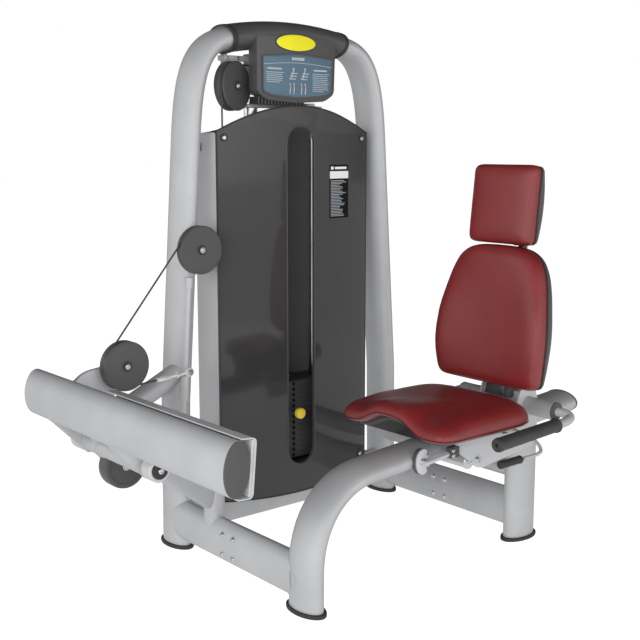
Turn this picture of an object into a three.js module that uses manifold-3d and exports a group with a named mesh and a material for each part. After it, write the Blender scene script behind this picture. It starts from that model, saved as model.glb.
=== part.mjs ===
// Seated calf machine with a weight-stack tower, in millimetres, +Z up.
// X runs from the foot bar to the seat back, Y from the user's side to the far side of the tower.
// The working origin is the left tower foot; the finished group is centred on its own footprint.
import * as THREE from 'three';
import { mergeVertices } from 'three/addons/utils/BufferGeometryUtils.js';
import Module from 'manifold-3d';

const wasm = await Module();
wasm.setup();

// Driving sizes.
const GAP = 0.4;                       // clearance left wherever two pieces meet
const TUBE_LONG = 116;                 // oval frame tube, long axis
const TUBE_SHORT = 62;                 // oval frame tube, short axis
const PAD_HEIGHT = 10;
const TOWER_WIDTH = 808;               // left leg axis to right leg axis at the floor
const TOWER_MID = TOWER_WIDTH / 2;
const SEAT_Y = -597;                   // plane of the seat rail
const BEAM_Z = 84;                     // centre height of the base beams
const RAIL_START = { x: 190, z: 324 };
const RAIL_END_X = 985;
const CROSSBAR = { start: new THREE.Vector3(184, 0, 1434) };
const RAIL_SLOPE = 0.076;
const POST_X = 806;
const PULLEY_R = 66;
const CABLE_R = 60;                    // radius that the cable follows on the large pulleys
const PULLEY_W = 24;
const CABLE_D = 5;
const SWING_ROOM = 13;                 // degrees of the middle wheel left free for the swinging cable
const WHEEL_ROOM = 46;                 // length of cable left off where it meets the arm wheel, which moves
const CABLE_Y = -80;                   // plane of the arm cable
const PIVOT = { x: -250, z: 347 };
const BAR = { x: -400, z: 507, yNear: -877, yFar: 31, long: 118, short: 65, tilt: 5 };
const STACK = { x: TOWER_MID, y: 12, base: 190, pitch: 17.2, thick: 16.8, count: 14, lifted: 6, width: 300, depth: 100 };
const PLATE_TOP = STACK.base + STACK.pitch * STACK.count;
const YOKE = { z: 1249 };              // plate that holds the guide rods' tops
const PEDESTAL_Y = -197;               // column on the left base beam that carries the arm's near bearing
const BEARING_R = 31;
const BRACKET_SIDE = new THREE.Vector3(-0.43, 0.9, 0).normalize();
const BORE_R = 12.4;
const ROD_X = 115;                     // guide rods, either side of the stack axis
const ROD_R = 12.5;
const ARM_PULLEY = { x: -197, y: CABLE_Y, z: 564 };
const MID_PULLEY = { x: 44, y: CABLE_Y, z: 857 };
const TOP_PULLEY = { x: 211, y: -17, z: 1306 };
const TOP_AXIS = new THREE.Vector3(0.34, -0.94, 0).normalize();
const CENTRE_PULLEY = { x: TOWER_MID - 50, y: STACK.y, z: 1316, r: 50 };
const BASE_PULLEY = { x: 129.5, y: -58.5, z: 186, r: 33.4 };
const BASE_AXIS = new THREE.Vector3(0.645, -0.765, 0).normalize();
const EYE = { x: 3, y: CABLE_Y, z: 520 };
const CASING = { left: 128, right: 680, side: 46, bulge: 32, bottom: 107, top: 1180 };
const SEAT = { front: 275, rear: 632, half: 195, low: 409, high: 462, frontCorner: 60, rearCorner: 80 };
const BACK_TILT = (6.1 * Math.PI) / 180;
const HANDLE = { front: 450, z: 389, slope: 0.0537, reach: 216 };

const railZ = (x) => RAIL_START.z + 10 + RAIL_SLOPE * (x - 317);

const paint = new THREE.MeshStandardMaterial({ color: 0xbebfc2, roughness: 0.45, metalness: 0.6 });
const darkPlastic = new THREE.MeshStandardMaterial({ color: 0x4b4b4c, roughness: 0.4, metalness: 0 });
const glossBlack = new THREE.MeshStandardMaterial({ color: 0x1c1c1d, roughness: 0.2, metalness: 0 });
const rubber = new THREE.MeshStandardMaterial({ color: 0x2b2b2c, roughness: 0.85, metalness: 0 });
const chrome = new THREE.MeshStandardMaterial({ color: 0xd8d8d8, roughness: 0.12, metalness: 1 });
const castIron = new THREE.MeshStandardMaterial({ color: 0x202022, roughness: 0.6, metalness: 0.3 });
const leather = new THREE.MeshStandardMaterial({ color: 0x7c2b2b, roughness: 0.5, metalness: 0 });
const knobYellow = new THREE.MeshStandardMaterial({ color: 0xf0d73c, roughness: 0.4, metalness: 0 });
const cableBlack = new THREE.MeshStandardMaterial({ color: 0x303032, roughness: 0.6, metalness: 0 });

const model = new THREE.Group();

// A closed geometry as a manifold solid, turned right side out.
function solid(geometry) {
  const plain = geometry.index ? geometry.toNonIndexed() : geometry;
  plain.deleteAttribute('normal');
  plain.deleteAttribute('uv');
  const merged = mergeVertices(plain, 1e-3);
  const position = merged.attributes.position.array;
  const kept = [];
  let volume = 0;
  for (let i = 0; i < merged.index.count; i += 3) {
    const [a, b, c] = [0, 1, 2].map((k) => merged.index.array[i + k]);
    if (a === b || b === c || c === a) continue;
    kept.push(a, b, c);
    const [p, q, r] = [a, b, c].map((k) => new THREE.Vector3().fromArray(position, 3 * k));
    volume += p.dot(q.cross(r));
  }
  if (volume < 0) kept.reverse();
  const triVerts = new Uint32Array(kept);
  return new wasm.Manifold(new wasm.Mesh({ numProp: 3, vertProperties: new Float32Array(position), triVerts }));
}

function union(...solids) {
  return solids.reduce((whole, next) => whole.add(next));
}

function cut(body, ...tools) {
  return tools.reduce((rest, tool) => rest.subtract(tool), body);
}

// Adds a named part to the model.
function part(name, body, material) {
  const data = body.getMesh();
  const geometry = new THREE.BufferGeometry();
  geometry.setAttribute('position', new THREE.BufferAttribute(data.vertProperties, 3));
  geometry.setIndex(new THREE.BufferAttribute(data.triVerts, 1));
  geometry.computeVertexNormals();
  const mesh = new THREE.Mesh(geometry, material);
  mesh.name = name;
  model.add(mesh);
}

const vec = (x, y, z) => new THREE.Vector3(x, y, z);
const flat = (points) => points.map(([x, y]) => new THREE.Vector2(x, y));

function ellipsePoints(halfX, halfY, sides, cx = 0, cy = 0, turn = 0) {
  const points = [];
  for (let i = 0; i < sides; i += 1) {
    const angle = (2 * Math.PI * i) / sides;
    const x = halfX * Math.cos(angle);
    const y = halfY * Math.sin(angle);
    points.push([
      cx + x * Math.cos(turn) - y * Math.sin(turn),
      cy + x * Math.sin(turn) + y * Math.cos(turn),
    ]);
  }
  return points;
}

function roundedRect(x0, x1, y0, y1, r, steps = 3) {
  const points = [];
  const corners = [[x1 - r, y1 - r, 0], [x0 + r, y1 - r, 1], [x0 + r, y0 + r, 2], [x1 - r, y0 + r, 3]];
  for (const [cx, cy, quarter] of corners) {
    for (let i = 0; i <= steps; i += 1) {
      const angle = (Math.PI / 2) * (quarter + i / steps);
      points.push([cx + r * Math.cos(angle), cy + r * Math.sin(angle)]);
    }
  }
  return points;
}

// Outlines extruded along one axis: plane names the outline's two axes.
function prism(plane, outline, from, to, holes = []) {
  const ring = flat(outline);
  if (THREE.ShapeUtils.isClockWise(ring)) ring.reverse();
  const shape = new THREE.Shape(ring);
  shape.holes = holes.map((hole) => new THREE.Path(flat(hole)));
  const geometry = new THREE.ExtrudeGeometry(shape, { depth: to - from, bevelEnabled: false });
  const basis = {
    xy: [vec(1, 0, 0), vec(0, 1, 0), vec(0, 0, 1)],
    xz: [vec(1, 0, 0), vec(0, 0, 1), vec(0, -1, 0)],
    yz: [vec(0, 1, 0), vec(0, 0, 1), vec(1, 0, 0)],
  }[plane];
  geometry.applyMatrix4(new THREE.Matrix4().makeBasis(...basis));
  const start = { xy: [0, 0, from], xz: [0, to, 0], yz: [from, 0, 0] }[plane];
  geometry.translate(...start);
  return solid(geometry);
}

function box(x0, x1, y0, y1, z0, z1) {
  const geometry = new THREE.BoxGeometry(x1 - x0, y1 - y0, z1 - z0);
  geometry.translate((x0 + x1) / 2, (y0 + y1) / 2, (z0 + z1) / 2);
  return solid(geometry);
}

function place(geometry, from, direction) {
  const turn = new THREE.Quaternion().setFromUnitVectors(vec(0, 1, 0), direction.clone().normalize());
  geometry.applyQuaternion(turn);
  geometry.translate(from.x, from.y, from.z);
  return solid(geometry);
}

function rod(from, to, radius, sides = 12, radiusEnd = radius) {
  const length = from.distanceTo(to);
  const geometry = new THREE.CylinderGeometry(radiusEnd, radius, length, sides);
  geometry.translate(0, length / 2, 0);
  return place(geometry, from, to.clone().sub(from));
}

// Sweeps an outline through a list of points, one mitred ring at each point. In a path that keeps
// to one XZ plane the outline's first axis lies in that plane and its second along Y.
function sweep(points, outline) {
  const position = [];
  const index = [];
  const count = outline.length;
  const heading = (from, to) => to.clone().sub(from).normalize();
  let side = Math.abs(heading(points[0], points[1]).z) > 0.9 ? vec(1, 0, 0) : vec(0, 0, 1);
  points.forEach((p, i) => {
    const into = heading(points[Math.max(i - 1, 0)], points[Math.max(i, 1)]);
    const out = heading(points[Math.min(i, points.length - 2)], points[Math.min(i + 1, points.length - 1)]);
    const along = into.add(out).normalize();
    side = side.clone().addScaledVector(along, -side.dot(along)).normalize();
    const up = along.clone().cross(side);
    for (const [a, b] of outline) {
      position.push(...p.clone().addScaledVector(side, a).addScaledVector(up, b).toArray());
    }
  });
  for (let i = 0; i < points.length - 1; i += 1) bandFaces(index, i * count, count);
  capFaces(index, 0, count, true);
  capFaces(index, (points.length - 1) * count, count, false);
  return solid(indexed(position, index));
}

function bandFaces(index, first, count) {
  for (let j = 0; j < count; j += 1) {
    const [a, b] = [first + j, first + ((j + 1) % count)];
    index.push(a, b, a + count, b, b + count, a + count);
  }
}

function capFaces(index, first, count, reversed) {
  for (let j = 1; j < count - 1; j += 1) {
    const pair = reversed ? [first + j + 1, first + j] : [first + j, first + j + 1];
    index.push(first, ...pair);
  }
}

function indexed(position, index) {
  const geometry = new THREE.BufferGeometry();
  geometry.setAttribute('position', new THREE.Float32BufferAttribute(position, 3));
  geometry.setIndex(index);
  return geometry;
}

// A grooved wheel turned about an axis through its centre, with a bore.
function wheel(centre, axis, outer, groove, width, bore, sides = 20) {
  const half = width / 2;
  const mouth = half - 3.5;
  const profile = [
    [bore, -half], [outer - 3, -half], [outer, -half + 2], [outer, -mouth], [groove, -3.6],
    [groove, 3.6], [outer, mouth], [outer, half - 2], [outer - 3, half], [bore, half], [bore, -half],
  ];
  return place(new THREE.LatheGeometry(flat(profile), sides), vec(centre.x, centre.y, centre.z), axis);
}

// Frame tubes. The paths lie in planes of constant Y; extra widens a tube so that it can cut its neighbour.
function archPoints() {
  const foot = vec(2, 0, PAD_HEIGHT + GAP);
  const knee = vec(7, 0, 425);
  const shoulder = vec(58, 0, 1170);
  const crown = CROSSBAR.start;
  const lean = vec(0.075, 0, 1).multiplyScalar(140);
  const reach = vec(1, 0, 0.2).multiplyScalar(95);
  const bend = new THREE.CubicBezierCurve3(shoulder, shoulder.clone().add(lean), crown.clone().sub(reach), crown);
  const left = [foot, knee, ...bend.getPoints(9)];
  const right = left.map((p) => vec(TOWER_WIDTH - p.x, p.y, p.z)).reverse();
  return [...left, ...crossbarPoints(4).slice(1, -1), ...right];
}

function crossbarPoints(steps) {
  const { start } = CROSSBAR;
  const peak = vec(TOWER_MID, 0, start.z + 0.2 * (TOWER_MID - start.x));
  return new THREE.QuadraticBezierCurve3(start, peak, vec(TOWER_WIDTH - start.x, 0, start.z)).getPoints(steps);
}

function oval(extra = 0, sides = 16) {
  return ellipsePoints(TUBE_SHORT / 2 + extra, TUBE_LONG / 2 + extra, sides);
}

function arch(extra = 0) {
  return sweep(archPoints(), oval(extra));
}

function railPoints() {
  const foot = vec(0, SEAT_Y, PAD_HEIGHT + GAP);
  const knee = vec(0, SEAT_Y, 100);
  const start = vec(RAIL_START.x, SEAT_Y, RAIL_START.z);
  const bend = new THREE.CubicBezierCurve3(knee, vec(0, SEAT_Y, 235), vec(80, SEAT_Y, 315.6), start);
  return [foot, ...bend.getPoints(10), vec(RAIL_END_X, SEAT_Y, railZ(RAIL_END_X))];
}

function rail(extra = 0) {
  return sweep(railPoints(), oval(extra));
}

function rearPost(extra = 0) {
  const outline = ellipsePoints(TUBE_LONG / 2 + extra, TUBE_SHORT / 2 + extra, 16, POST_X, SEAT_Y);
  return prism('xy', outline, PAD_HEIGHT + GAP, railZ(POST_X));
}

function buildFrame() {
  const legs = arch(GAP);
  const frontRail = rail(GAP);
  const section = (x) => ellipsePoints(TUBE_SHORT / 2, TUBE_LONG / 2, 16, x, BEAM_Z);
  part('tower_arch', arch(), paint);
  part('seat_rail_tube', rail(), paint);
  part('rear_post', cut(rearPost(), frontRail), paint);
  part('left_base_beam', cut(prism('xz', section(0), SEAT_Y + 30, -33), legs, frontRail), paint);
  part('right_base_beam', cut(prism('xz', section(POST_X), SEAT_Y + 20, -33), legs, rearPost(GAP)), paint);
  const upper = prism('xz', ellipsePoints(TUBE_SHORT / 2, TUBE_SHORT / 2, 16, POST_X, 208), SEAT_Y + 20, -33);
  part('rear_upper_beam', cut(upper, legs, rearPost(GAP)), paint);
  const across = prism('yz', ellipsePoints(TUBE_SHORT / 2, TUBE_LONG / 2, 16, 0, BEAM_Z), 15, TOWER_WIDTH - 15);
  const stand = union(box(111, 126, -54, -12, 92, 104), rod(vec(118.5, -45.5, 96), vec(118.5, -45.5, 200), 6.5, 10));
  const axle = rod(axial(BASE_PULLEY, BASE_AXIS, -16), axial(BASE_PULLEY, BASE_AXIS, 10), 5, 10);
  part('base_crossbeam', union(cut(across, legs), stand, axle), paint);
}

function axial(centre, axis, distance) {
  return vec(centre.x, centre.y, centre.z).addScaledVector(axis, distance);
}

function buildFeet() {
  const alongY = [67, 37];
  const feet = {
    foot_pad_tower_left: [2, 0, alongY],
    foot_pad_tower_right: [TOWER_WIDTH - 2, 0, alongY],
    foot_pad_front: [0, SEAT_Y, alongY],
    foot_pad_rear: [POST_X, SEAT_Y, [37, 67]],
  };
  for (const [name, [x, y, [halfY, halfX]]] of Object.entries(feet)) {
    part(name, prism('xy', ellipsePoints(halfX, halfY, 20, x, y), 0, PAD_HEIGHT), rubber);
  }
}

// Tower casing: bulged front and rear shrouds between flat side panels.
function shroudBand(sign, thick) {
  const steps = 12;
  const outer = [];
  const inner = [];
  for (let i = 0; i <= steps; i += 1) {
    const x = CASING.left + ((CASING.right - CASING.left) * i) / steps;
    const t = (2 * i) / steps - 1;
    const y = sign * (CASING.side + CASING.bulge * (1 - t * t));
    outer.push([x, y]);
    inner.unshift([x, y - sign * thick]);
  }
  return prism('xy', [...outer, ...inner], 60, 1300);
}

function shroudOutline() {
  const points = [];
  const steps = 10;
  for (let i = 0; i <= steps; i += 1) {
    const t = (2 * i) / steps - 1;
    points.push([CASING.left - 1 + ((CASING.right - CASING.left + 2) * i) / steps, CASING.bottom - 15 * (1 - t * t)]);
  }
  for (let i = steps; i >= 0; i -= 1) {
    const t = (2 * i) / steps - 1;
    points.push([CASING.left - 1 + ((CASING.right - CASING.left + 2) * i) / steps, CASING.top + 74 * (1 - t * t)]);
  }
  return points;
}

function slotOutline(x0, x1, z0, z1) {
  const r = (x1 - x0) / 2;
  return roundedRect(x0, x1, z0, z1, r - 0.01, 6);
}

function buildCasing() {
  const outline = prism('xz', shroudOutline(), -120, 120);
  const slot = prism('xz', slotOutline(TOWER_MID - 51, TOWER_MID + 51, 180, 1196), -120, 0);
  const cableWindow = box(CASING.left - 4, CASING.left + 44, -120, -20, 140, 234);
  part('front_shroud', cut(shroudBand(-1, 3).intersect(outline), slot, cableWindow), darkPlastic);
  part('rear_shroud', shroudBand(1, 3).intersect(outline), darkPlastic);
  const side = roundedRect(-CASING.side + 4, CASING.side - 4, CASING.bottom + 3, CASING.top - 4, 8);
  const beam = box(0, TOWER_WIDTH, -32, 32, 80, 142);
  part('left_side_panel', cut(prism('yz', side, CASING.left, CASING.left + 3), beam), paint);
  part('right_side_panel', cut(prism('yz', side, CASING.right - 3, CASING.right), beam), paint);
}

// Crossbar sleeve, console, guide rods and the top pulley frame.
function coverSolid(extra) {
  return sweep(crossbarPoints(8), oval(8 + extra, 20));
}

function buildHead() {
  part('crossbar_cover', cut(coverSolid(0), arch(GAP)), glossBlack);
  const face = [
    [262, 1462], [264, 1290], [272, 1277], [300, 1270], [404, 1264],
    [508, 1270], [538, 1277], [546, 1290], [556, 1462],
  ];
  const housing = prism('xz', face, -76, -32);
  const rear = prism('xz', [[276, 1400], [278, 1290], [404, 1278], [530, 1290], [540, 1400]], -34, 58);
  const room = prism('xz', [[286, 1420], [288, 1255], [520, 1255], [528, 1420]], -66, 50);
  const doorway = box(268, 300, -10, 34, 1350, 1402);
  part('console_housing', cut(union(housing, rear), room, doorway, coverSolid(GAP)), darkPlastic);
}

function guide(side, z) {
  return vec(STACK.x + side * ROD_X, STACK.y, z);
}

function buildGuides() {
  const names = ['left_guide_rod', 'right_guide_rod'];
  [-1, 1].forEach((side, i) => {
    const bar = rod(guide(side, STACK.base - 20), guide(side, YOKE.z - GAP), ROD_R, 14);
    const collar = rod(guide(side, YOKE.z - 30), guide(side, YOKE.z - GAP), 20, 14);
    part(names[i], union(bar, collar), chrome);
  });
  const beamRoom = crossbeamRoom();
  const stand = box(STACK.x - ROD_X - 26, STACK.x + ROD_X + 26, -32, 60, 100, STACK.base - 14);
  const bumpers = [-1, 1].map((side) => rod(guide(side, STACK.base - 16), guide(side, STACK.base - GAP), 25, 16));
  const sockets = [-1, 1].map((side) => rod(guide(side, STACK.base - 20.4), guide(side, 300), ROD_R + GAP, 14));
  part('stack_base', cut(union(stand, ...bumpers), beamRoom, ...sockets), rubber);
}

function crossbeamRoom() {
  const outline = ellipsePoints(TUBE_SHORT / 2 + GAP, TUBE_LONG / 2 + GAP, 16, 0, BEAM_Z);
  return prism('yz', outline, 15, TOWER_WIDTH - 15);
}

// Weight stack: pairs of holes for the guide rods and one for the selector stem.
function plateOutline() {
  const [halfWidth, halfDepth] = [STACK.width / 2, STACK.depth / 2];
  return roundedRect(STACK.x - halfWidth, STACK.x + halfWidth, STACK.y - halfDepth, STACK.y + halfDepth, 10, 1);
}

function plateHoles(stemRadius) {
  return [
    ellipsePoints(ROD_R + 1, ROD_R + 1, 12, STACK.x - ROD_X, STACK.y),
    ellipsePoints(ROD_R + 1, ROD_R + 1, 12, STACK.x + ROD_X, STACK.y),
    ellipsePoints(stemRadius, stemRadius, 12, STACK.x, STACK.y),
  ];
}

function stackPoint(z) {
  return vec(STACK.x, STACK.y, z);
}

function plateZ(number) {
  return PLATE_TOP - STACK.pitch * number;
}

function pinHole(z) {
  return rod(vec(STACK.x, -60, z), vec(STACK.x, STACK.y + 14, z), 6, 10);
}

function buildStack() {
  const holes = plateHoles(14);
  for (let n = 1; n <= STACK.lifted; n += 1) {
    const z = plateZ(n);
    const plate = prism('xy', plateOutline(), z, z + STACK.thick, holes);
    const name = n === 1 ? 'top_weight_plate' : `weight_plate_0${n}`;
    part(name, n === STACK.lifted ? cut(plate, pinHole(z + STACK.thick / 2)) : plate, castIron);
  }
  const lower = [];
  for (let n = STACK.lifted + 1; n <= STACK.count; n += 1) {
    const z = plateZ(n);
    lower.push(prism('xy', plateOutline(), z, z + STACK.thick, holes));
    const spacer = roundedRect(STACK.x - 60, STACK.x + 60, STACK.y - 30, STACK.y + 30, 6, 1);
    if (n > STACK.lifted + 1) {
      lower.push(prism('xy', spacer, z + STACK.thick - 0.2, z + STACK.pitch + 0.2, [holes[2]]));
    }
  }
  part('lower_weight_plates', union(...lower), castIron);
  const pinZ = plateZ(STACK.lifted) + STACK.thick / 2;
  const stem = rod(stackPoint(STACK.base + 4), stackPoint(PLATE_TOP + 26), 12.5, 12);
  const head = rod(stackPoint(PLATE_TOP + 0.6), stackPoint(PLATE_TOP + 14), 20, 12);
  part('selector_stem', cut(union(stem, head), pinHole(pinZ)), chrome);
  const shaft = rod(vec(STACK.x, -72, pinZ), vec(STACK.x, STACK.y + 12, pinZ), 5, 10);
  const knob = rod(vec(STACK.x, -92, pinZ), vec(STACK.x, -70, pinZ), 15, 16);
  part('selector_pin', union(shaft, knob), knobYellow);
}

// Pulleys with the fixed brackets that carry them.
function buildPulleys() {
  const alongY = vec(0, 1, 0);
  part('tower_pulley', wheel(TOP_PULLEY, TOP_AXIS, PULLEY_R, CABLE_R - 3, PULLEY_W, 6), darkPlastic);
  part('mid_pulley', wheel(MID_PULLEY, alongY, PULLEY_R, CABLE_R - 3, PULLEY_W, 8.5), darkPlastic);
  part('arm_pulley', wheel(ARM_PULLEY, alongY, PULLEY_R, CABLE_R - 3, PULLEY_W, 8.5), darkPlastic);
  const centre = CENTRE_PULLEY;
  part('centre_pulley', wheel(centre, alongY, centre.r + 5, centre.r - 3, 24, 6, 16), darkPlastic);
  part('base_pulley', wheel(BASE_PULLEY, BASE_AXIS, BASE_PULLEY.r + 4, BASE_PULLEY.r - 3, 14, 5.5, 16), darkPlastic);
}

function buildPulleyFrame() {
  const hanger = union(
    rod(axial(TOP_PULLEY, TOP_AXIS, -28), axial(TOP_PULLEY, TOP_AXIS, 15), 5.5, 10),
    rod(axial(TOP_PULLEY, TOP_AXIS, -24), axial(TOP_PULLEY, TOP_AXIS, -24).add(vec(0, 0, 110)), 9, 12),
    box(190, 366, 2, 34, 1378, 1392),
    rod(vec(CENTRE_PULLEY.x, -1, CENTRE_PULLEY.z), vec(CENTRE_PULLEY.x, 38, CENTRE_PULLEY.z), 5.5, 10),
    box(CENTRE_PULLEY.x - 10, CENTRE_PULLEY.x + 10, 28, 38, YOKE.z, 1425),
    box(STACK.x - ROD_X - 24, STACK.x + ROD_X + 24, -8, 38, YOKE.z, YOKE.z + 8),
  );
  const cableHole = rod(stackPoint(YOKE.z - 10), stackPoint(YOKE.z + 20), 9, 12);
  part('pulley_hanger', cut(hanger, coverSolid(GAP), cableHole), paint);
  const legs = arch(GAP);
  const stub = rod(vec(MID_PULLEY.x, -40, MID_PULLEY.z), vec(MID_PULLEY.x, -98, MID_PULLEY.z), 8, 12);
  const collar = rod(vec(MID_PULLEY.x, -40, MID_PULLEY.z), vec(MID_PULLEY.x, -67, MID_PULLEY.z), 15, 14);
  const post = rod(vec(-9, -67, 395), vec(18, -67, 782), 8, 12);
  const strap = prism('xz', [[8, 768], [30, 768], [60, 850], [56, 872], [32, 872]], -66, -56);
  const sleeve = rod(vec(-6, -67, 440), vec(-1.5, -67, 506), 13, 12);
  const lugs = [430, 770].map((z) => box(-14 + (z - 395) * 0.07, 6 + (z - 395) * 0.07, -68, -30, z, z + 12));
  const pin = rod(vec(EYE.x, -60, EYE.z), vec(EYE.x, -92, EYE.z), 4.5, 10);
  part('leg_pulley_post', cut(union(post, sleeve, ...lugs, pin, strap, stub, collar), legs), paint);
}

// Foot arm, its bearings and the fixed supports.
function barSolid(extra) {
  const turn = (-BAR.tilt * Math.PI) / 180;
  const outline = ellipsePoints(BAR.short / 2 + extra, BAR.long / 2 + extra, 24, BAR.x, BAR.z, turn);
  return prism('xz', outline, BAR.yNear, BAR.yFar);
}

function footPlate() {
  const turn = (-BAR.tilt * Math.PI) / 180;
  const spin = ([x, z]) => [
    BAR.x + x * Math.cos(turn) - z * Math.sin(turn),
    BAR.z + x * Math.sin(turn) + z * Math.cos(turn),
  ];
  const outer = [[8, 63], [34, 63], [43, 54], [43, -54], [34, -63], [8, -63]];
  const inner = [[8, -60.5], [33, -60.5], [40, -53.5], [40, 53.5], [33, 60.5], [8, 60.5]];
  const channel = prism('xz', [...outer, ...inner].map(spin), BAR.yNear, -327);
  return cut(channel, barSolid(GAP));
}

function armFrame() {
  const axis = [PIVOT.x, PIVOT.z];
  const pivotTube = rod(vec(PIVOT.x, -292, PIVOT.z), vec(PIVOT.x, 30, PIVOT.z), 27, 20);
  const wedge = [[-392, 520], [-392, 446], [-362, 420], [-262, 318], [-236, 318], [-222, 347], [-238, 374], [-330, 486]];
  const wedges = [[18, 27], [-285, -276]].map(([a, b]) => prism('xz', wedge, a, b));
  const horn = [
    [-385, 470], [-372, 524], [-337, 545], [-288, 566], [-235, 584], [-197, 588], [-176, 576], [-172, 558],
    [-186, 542], [-214, 520], [-224, 480], [-222, 347], [-262, 322], [-300, 400],
  ];
  const window = [[-330, 478], [-300, 505], [-262, 520], [-246, 500], [-250, 420], [-290, 432]];
  const hornPlate = prism('xz', horn, -62, -50, [window]);
  const hanger = [[-262, 372], [-222, 362], [-168, 296], [-168, 264], [-196, 262], [-264, 330]];
  const hangerPlate = prism('xz', hanger, -5, 4);
  const axle = rod(vec(ARM_PULLEY.x, -55, ARM_PULLEY.z), vec(ARM_PULLEY.x, -98, ARM_PULLEY.z), 8, 12);
  const spacer = rod(vec(ARM_PULLEY.x, -55, ARM_PULLEY.z), vec(ARM_PULLEY.x, -67.4, ARM_PULLEY.z), 15, 14);
  const bore = rod(vec(axis[0], -300, axis[1]), vec(axis[0], 40, axis[1]), 13, 16);
  return cut(union(pivotTube, ...wedges, hornPlate, hangerPlate, axle, spacer), bore, barSolid(GAP));
}

function buildArm() {
  part('foot_bar', barSolid(0), paint);
  part('foot_plate', footPlate(), paint);
  part('arm_frame', armFrame(), paint);
  const weightAt = [PIVOT.x + 65.4, PIVOT.z - 68.5];
  const disc = prism('xz', ellipsePoints(62.5, 62.5, 24, ...weightAt), -50, -5.4);
  const tubeCut = rod(vec(PIVOT.x, -300, PIVOT.z), vec(PIVOT.x, 40, PIVOT.z), 27.5, 20);
  part('counterweight', cut(disc, tubeCut), rubber);
}

// A tapered bracket between two upright ovals, drawn round their hull.
function bracket(ends) {
  const points = ends.flatMap(({ x, y, low, high, thick }) => {
    const middle = (low + high) / 2;
    return ellipsePoints(thick / 2, (high - low) / 2, 12).flatMap(([across, up]) => [
      [x + across * BRACKET_SIDE.x, y + across * BRACKET_SIDE.y, middle + up],
    ]);
  });
  return wasm.Manifold.hull(points);
}

function buildSupports() {
  const bore = rod(vec(PIVOT.x, -400, PIVOT.z), vec(PIVOT.x, 200, PIVOT.z), BORE_R, 16);
  part('pivot_shaft', rod(vec(PIVOT.x, -336, PIVOT.z), vec(PIVOT.x, 90, PIVOT.z), BORE_R - GAP, 16), chrome);
  const column = prism('xy', ellipsePoints(29, 29, 20, 0, PEDESTAL_Y), 112, 345);
  const plate = bracket([
    { x: PIVOT.x + 8, y: -314, low: 312, high: 372, thick: 32 },
    { x: -8, y: PEDESTAL_Y - 3, low: 158, high: 338, thick: 36 },
  ]);
  const armRoom = box(-320, -212, -293.4, -150, 250, 450);
  const housing = rod(vec(PIVOT.x, -334, PIVOT.z), vec(PIVOT.x, -295, PIVOT.z), BEARING_R, 20);
  const beamRoom = prism('xz', ellipsePoints(TUBE_SHORT / 2 + GAP, TUBE_LONG / 2 + GAP, 16, 0, BEAM_Z), -600, 0);
  part('pivot_pedestal', cut(union(column, housing, plate), bore, beamRoom, armRoom), paint);
  const strut = rod(vec(-5, -20, 505), vec(-244, 60, 349), 30, 16);
  const farHousing = rod(vec(PIVOT.x, 34, PIVOT.z), vec(PIVOT.x, 86, PIVOT.z), BEARING_R, 20);
  part('pivot_strut', cut(union(strut, farHousing), bore, arch(GAP), box(-300, -200, -60, 33.6, 200, 420)), paint);
}

// Cables. Their routes are the straight runs between the pulleys with arcs round the wheels.
function arcPoints(centre, u, v, radius, from, to, steps) {
  const points = [];
  for (let i = 0; i <= steps; i += 1) {
    const angle = ((from + ((to - from) * i) / steps) * Math.PI) / 180;
    const p = vec(centre.x, centre.y, centre.z);
    p.addScaledVector(u, radius * Math.cos(angle)).addScaledVector(v, radius * Math.sin(angle));
    points.push(p);
  }
  return points;
}

function cableThrough(points) {
  return sweep(points, ellipsePoints(CABLE_D / 2, CABLE_D / 2, 8));
}

function armRun() {
  const along = vec(ARM_PULLEY.x - MID_PULLEY.x, 0, ARM_PULLEY.z - MID_PULLEY.z).normalize();
  const off = vec(along.z, 0, -along.x).multiplyScalar(CABLE_R);
  const start = vec(MID_PULLEY.x, CABLE_Y, MID_PULLEY.z).add(off);
  const end = vec(ARM_PULLEY.x, CABLE_Y, ARM_PULLEY.z).add(off);
  return { start, end, along };
}

function returnRun() {
  const toEye = vec(EYE.x - ARM_PULLEY.x, 0, EYE.z - ARM_PULLEY.z);
  const distance = toEye.length();
  const lead = Math.atan2(toEye.z, toEye.x) - Math.acos(CABLE_R / distance);
  const start = vec(ARM_PULLEY.x + CABLE_R * Math.cos(lead), CABLE_Y, ARM_PULLEY.z + CABLE_R * Math.sin(lead));
  const end = vec(EYE.x, CABLE_Y, EYE.z);
  return { start, end, along: end.clone().sub(start).normalize() };
}

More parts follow.
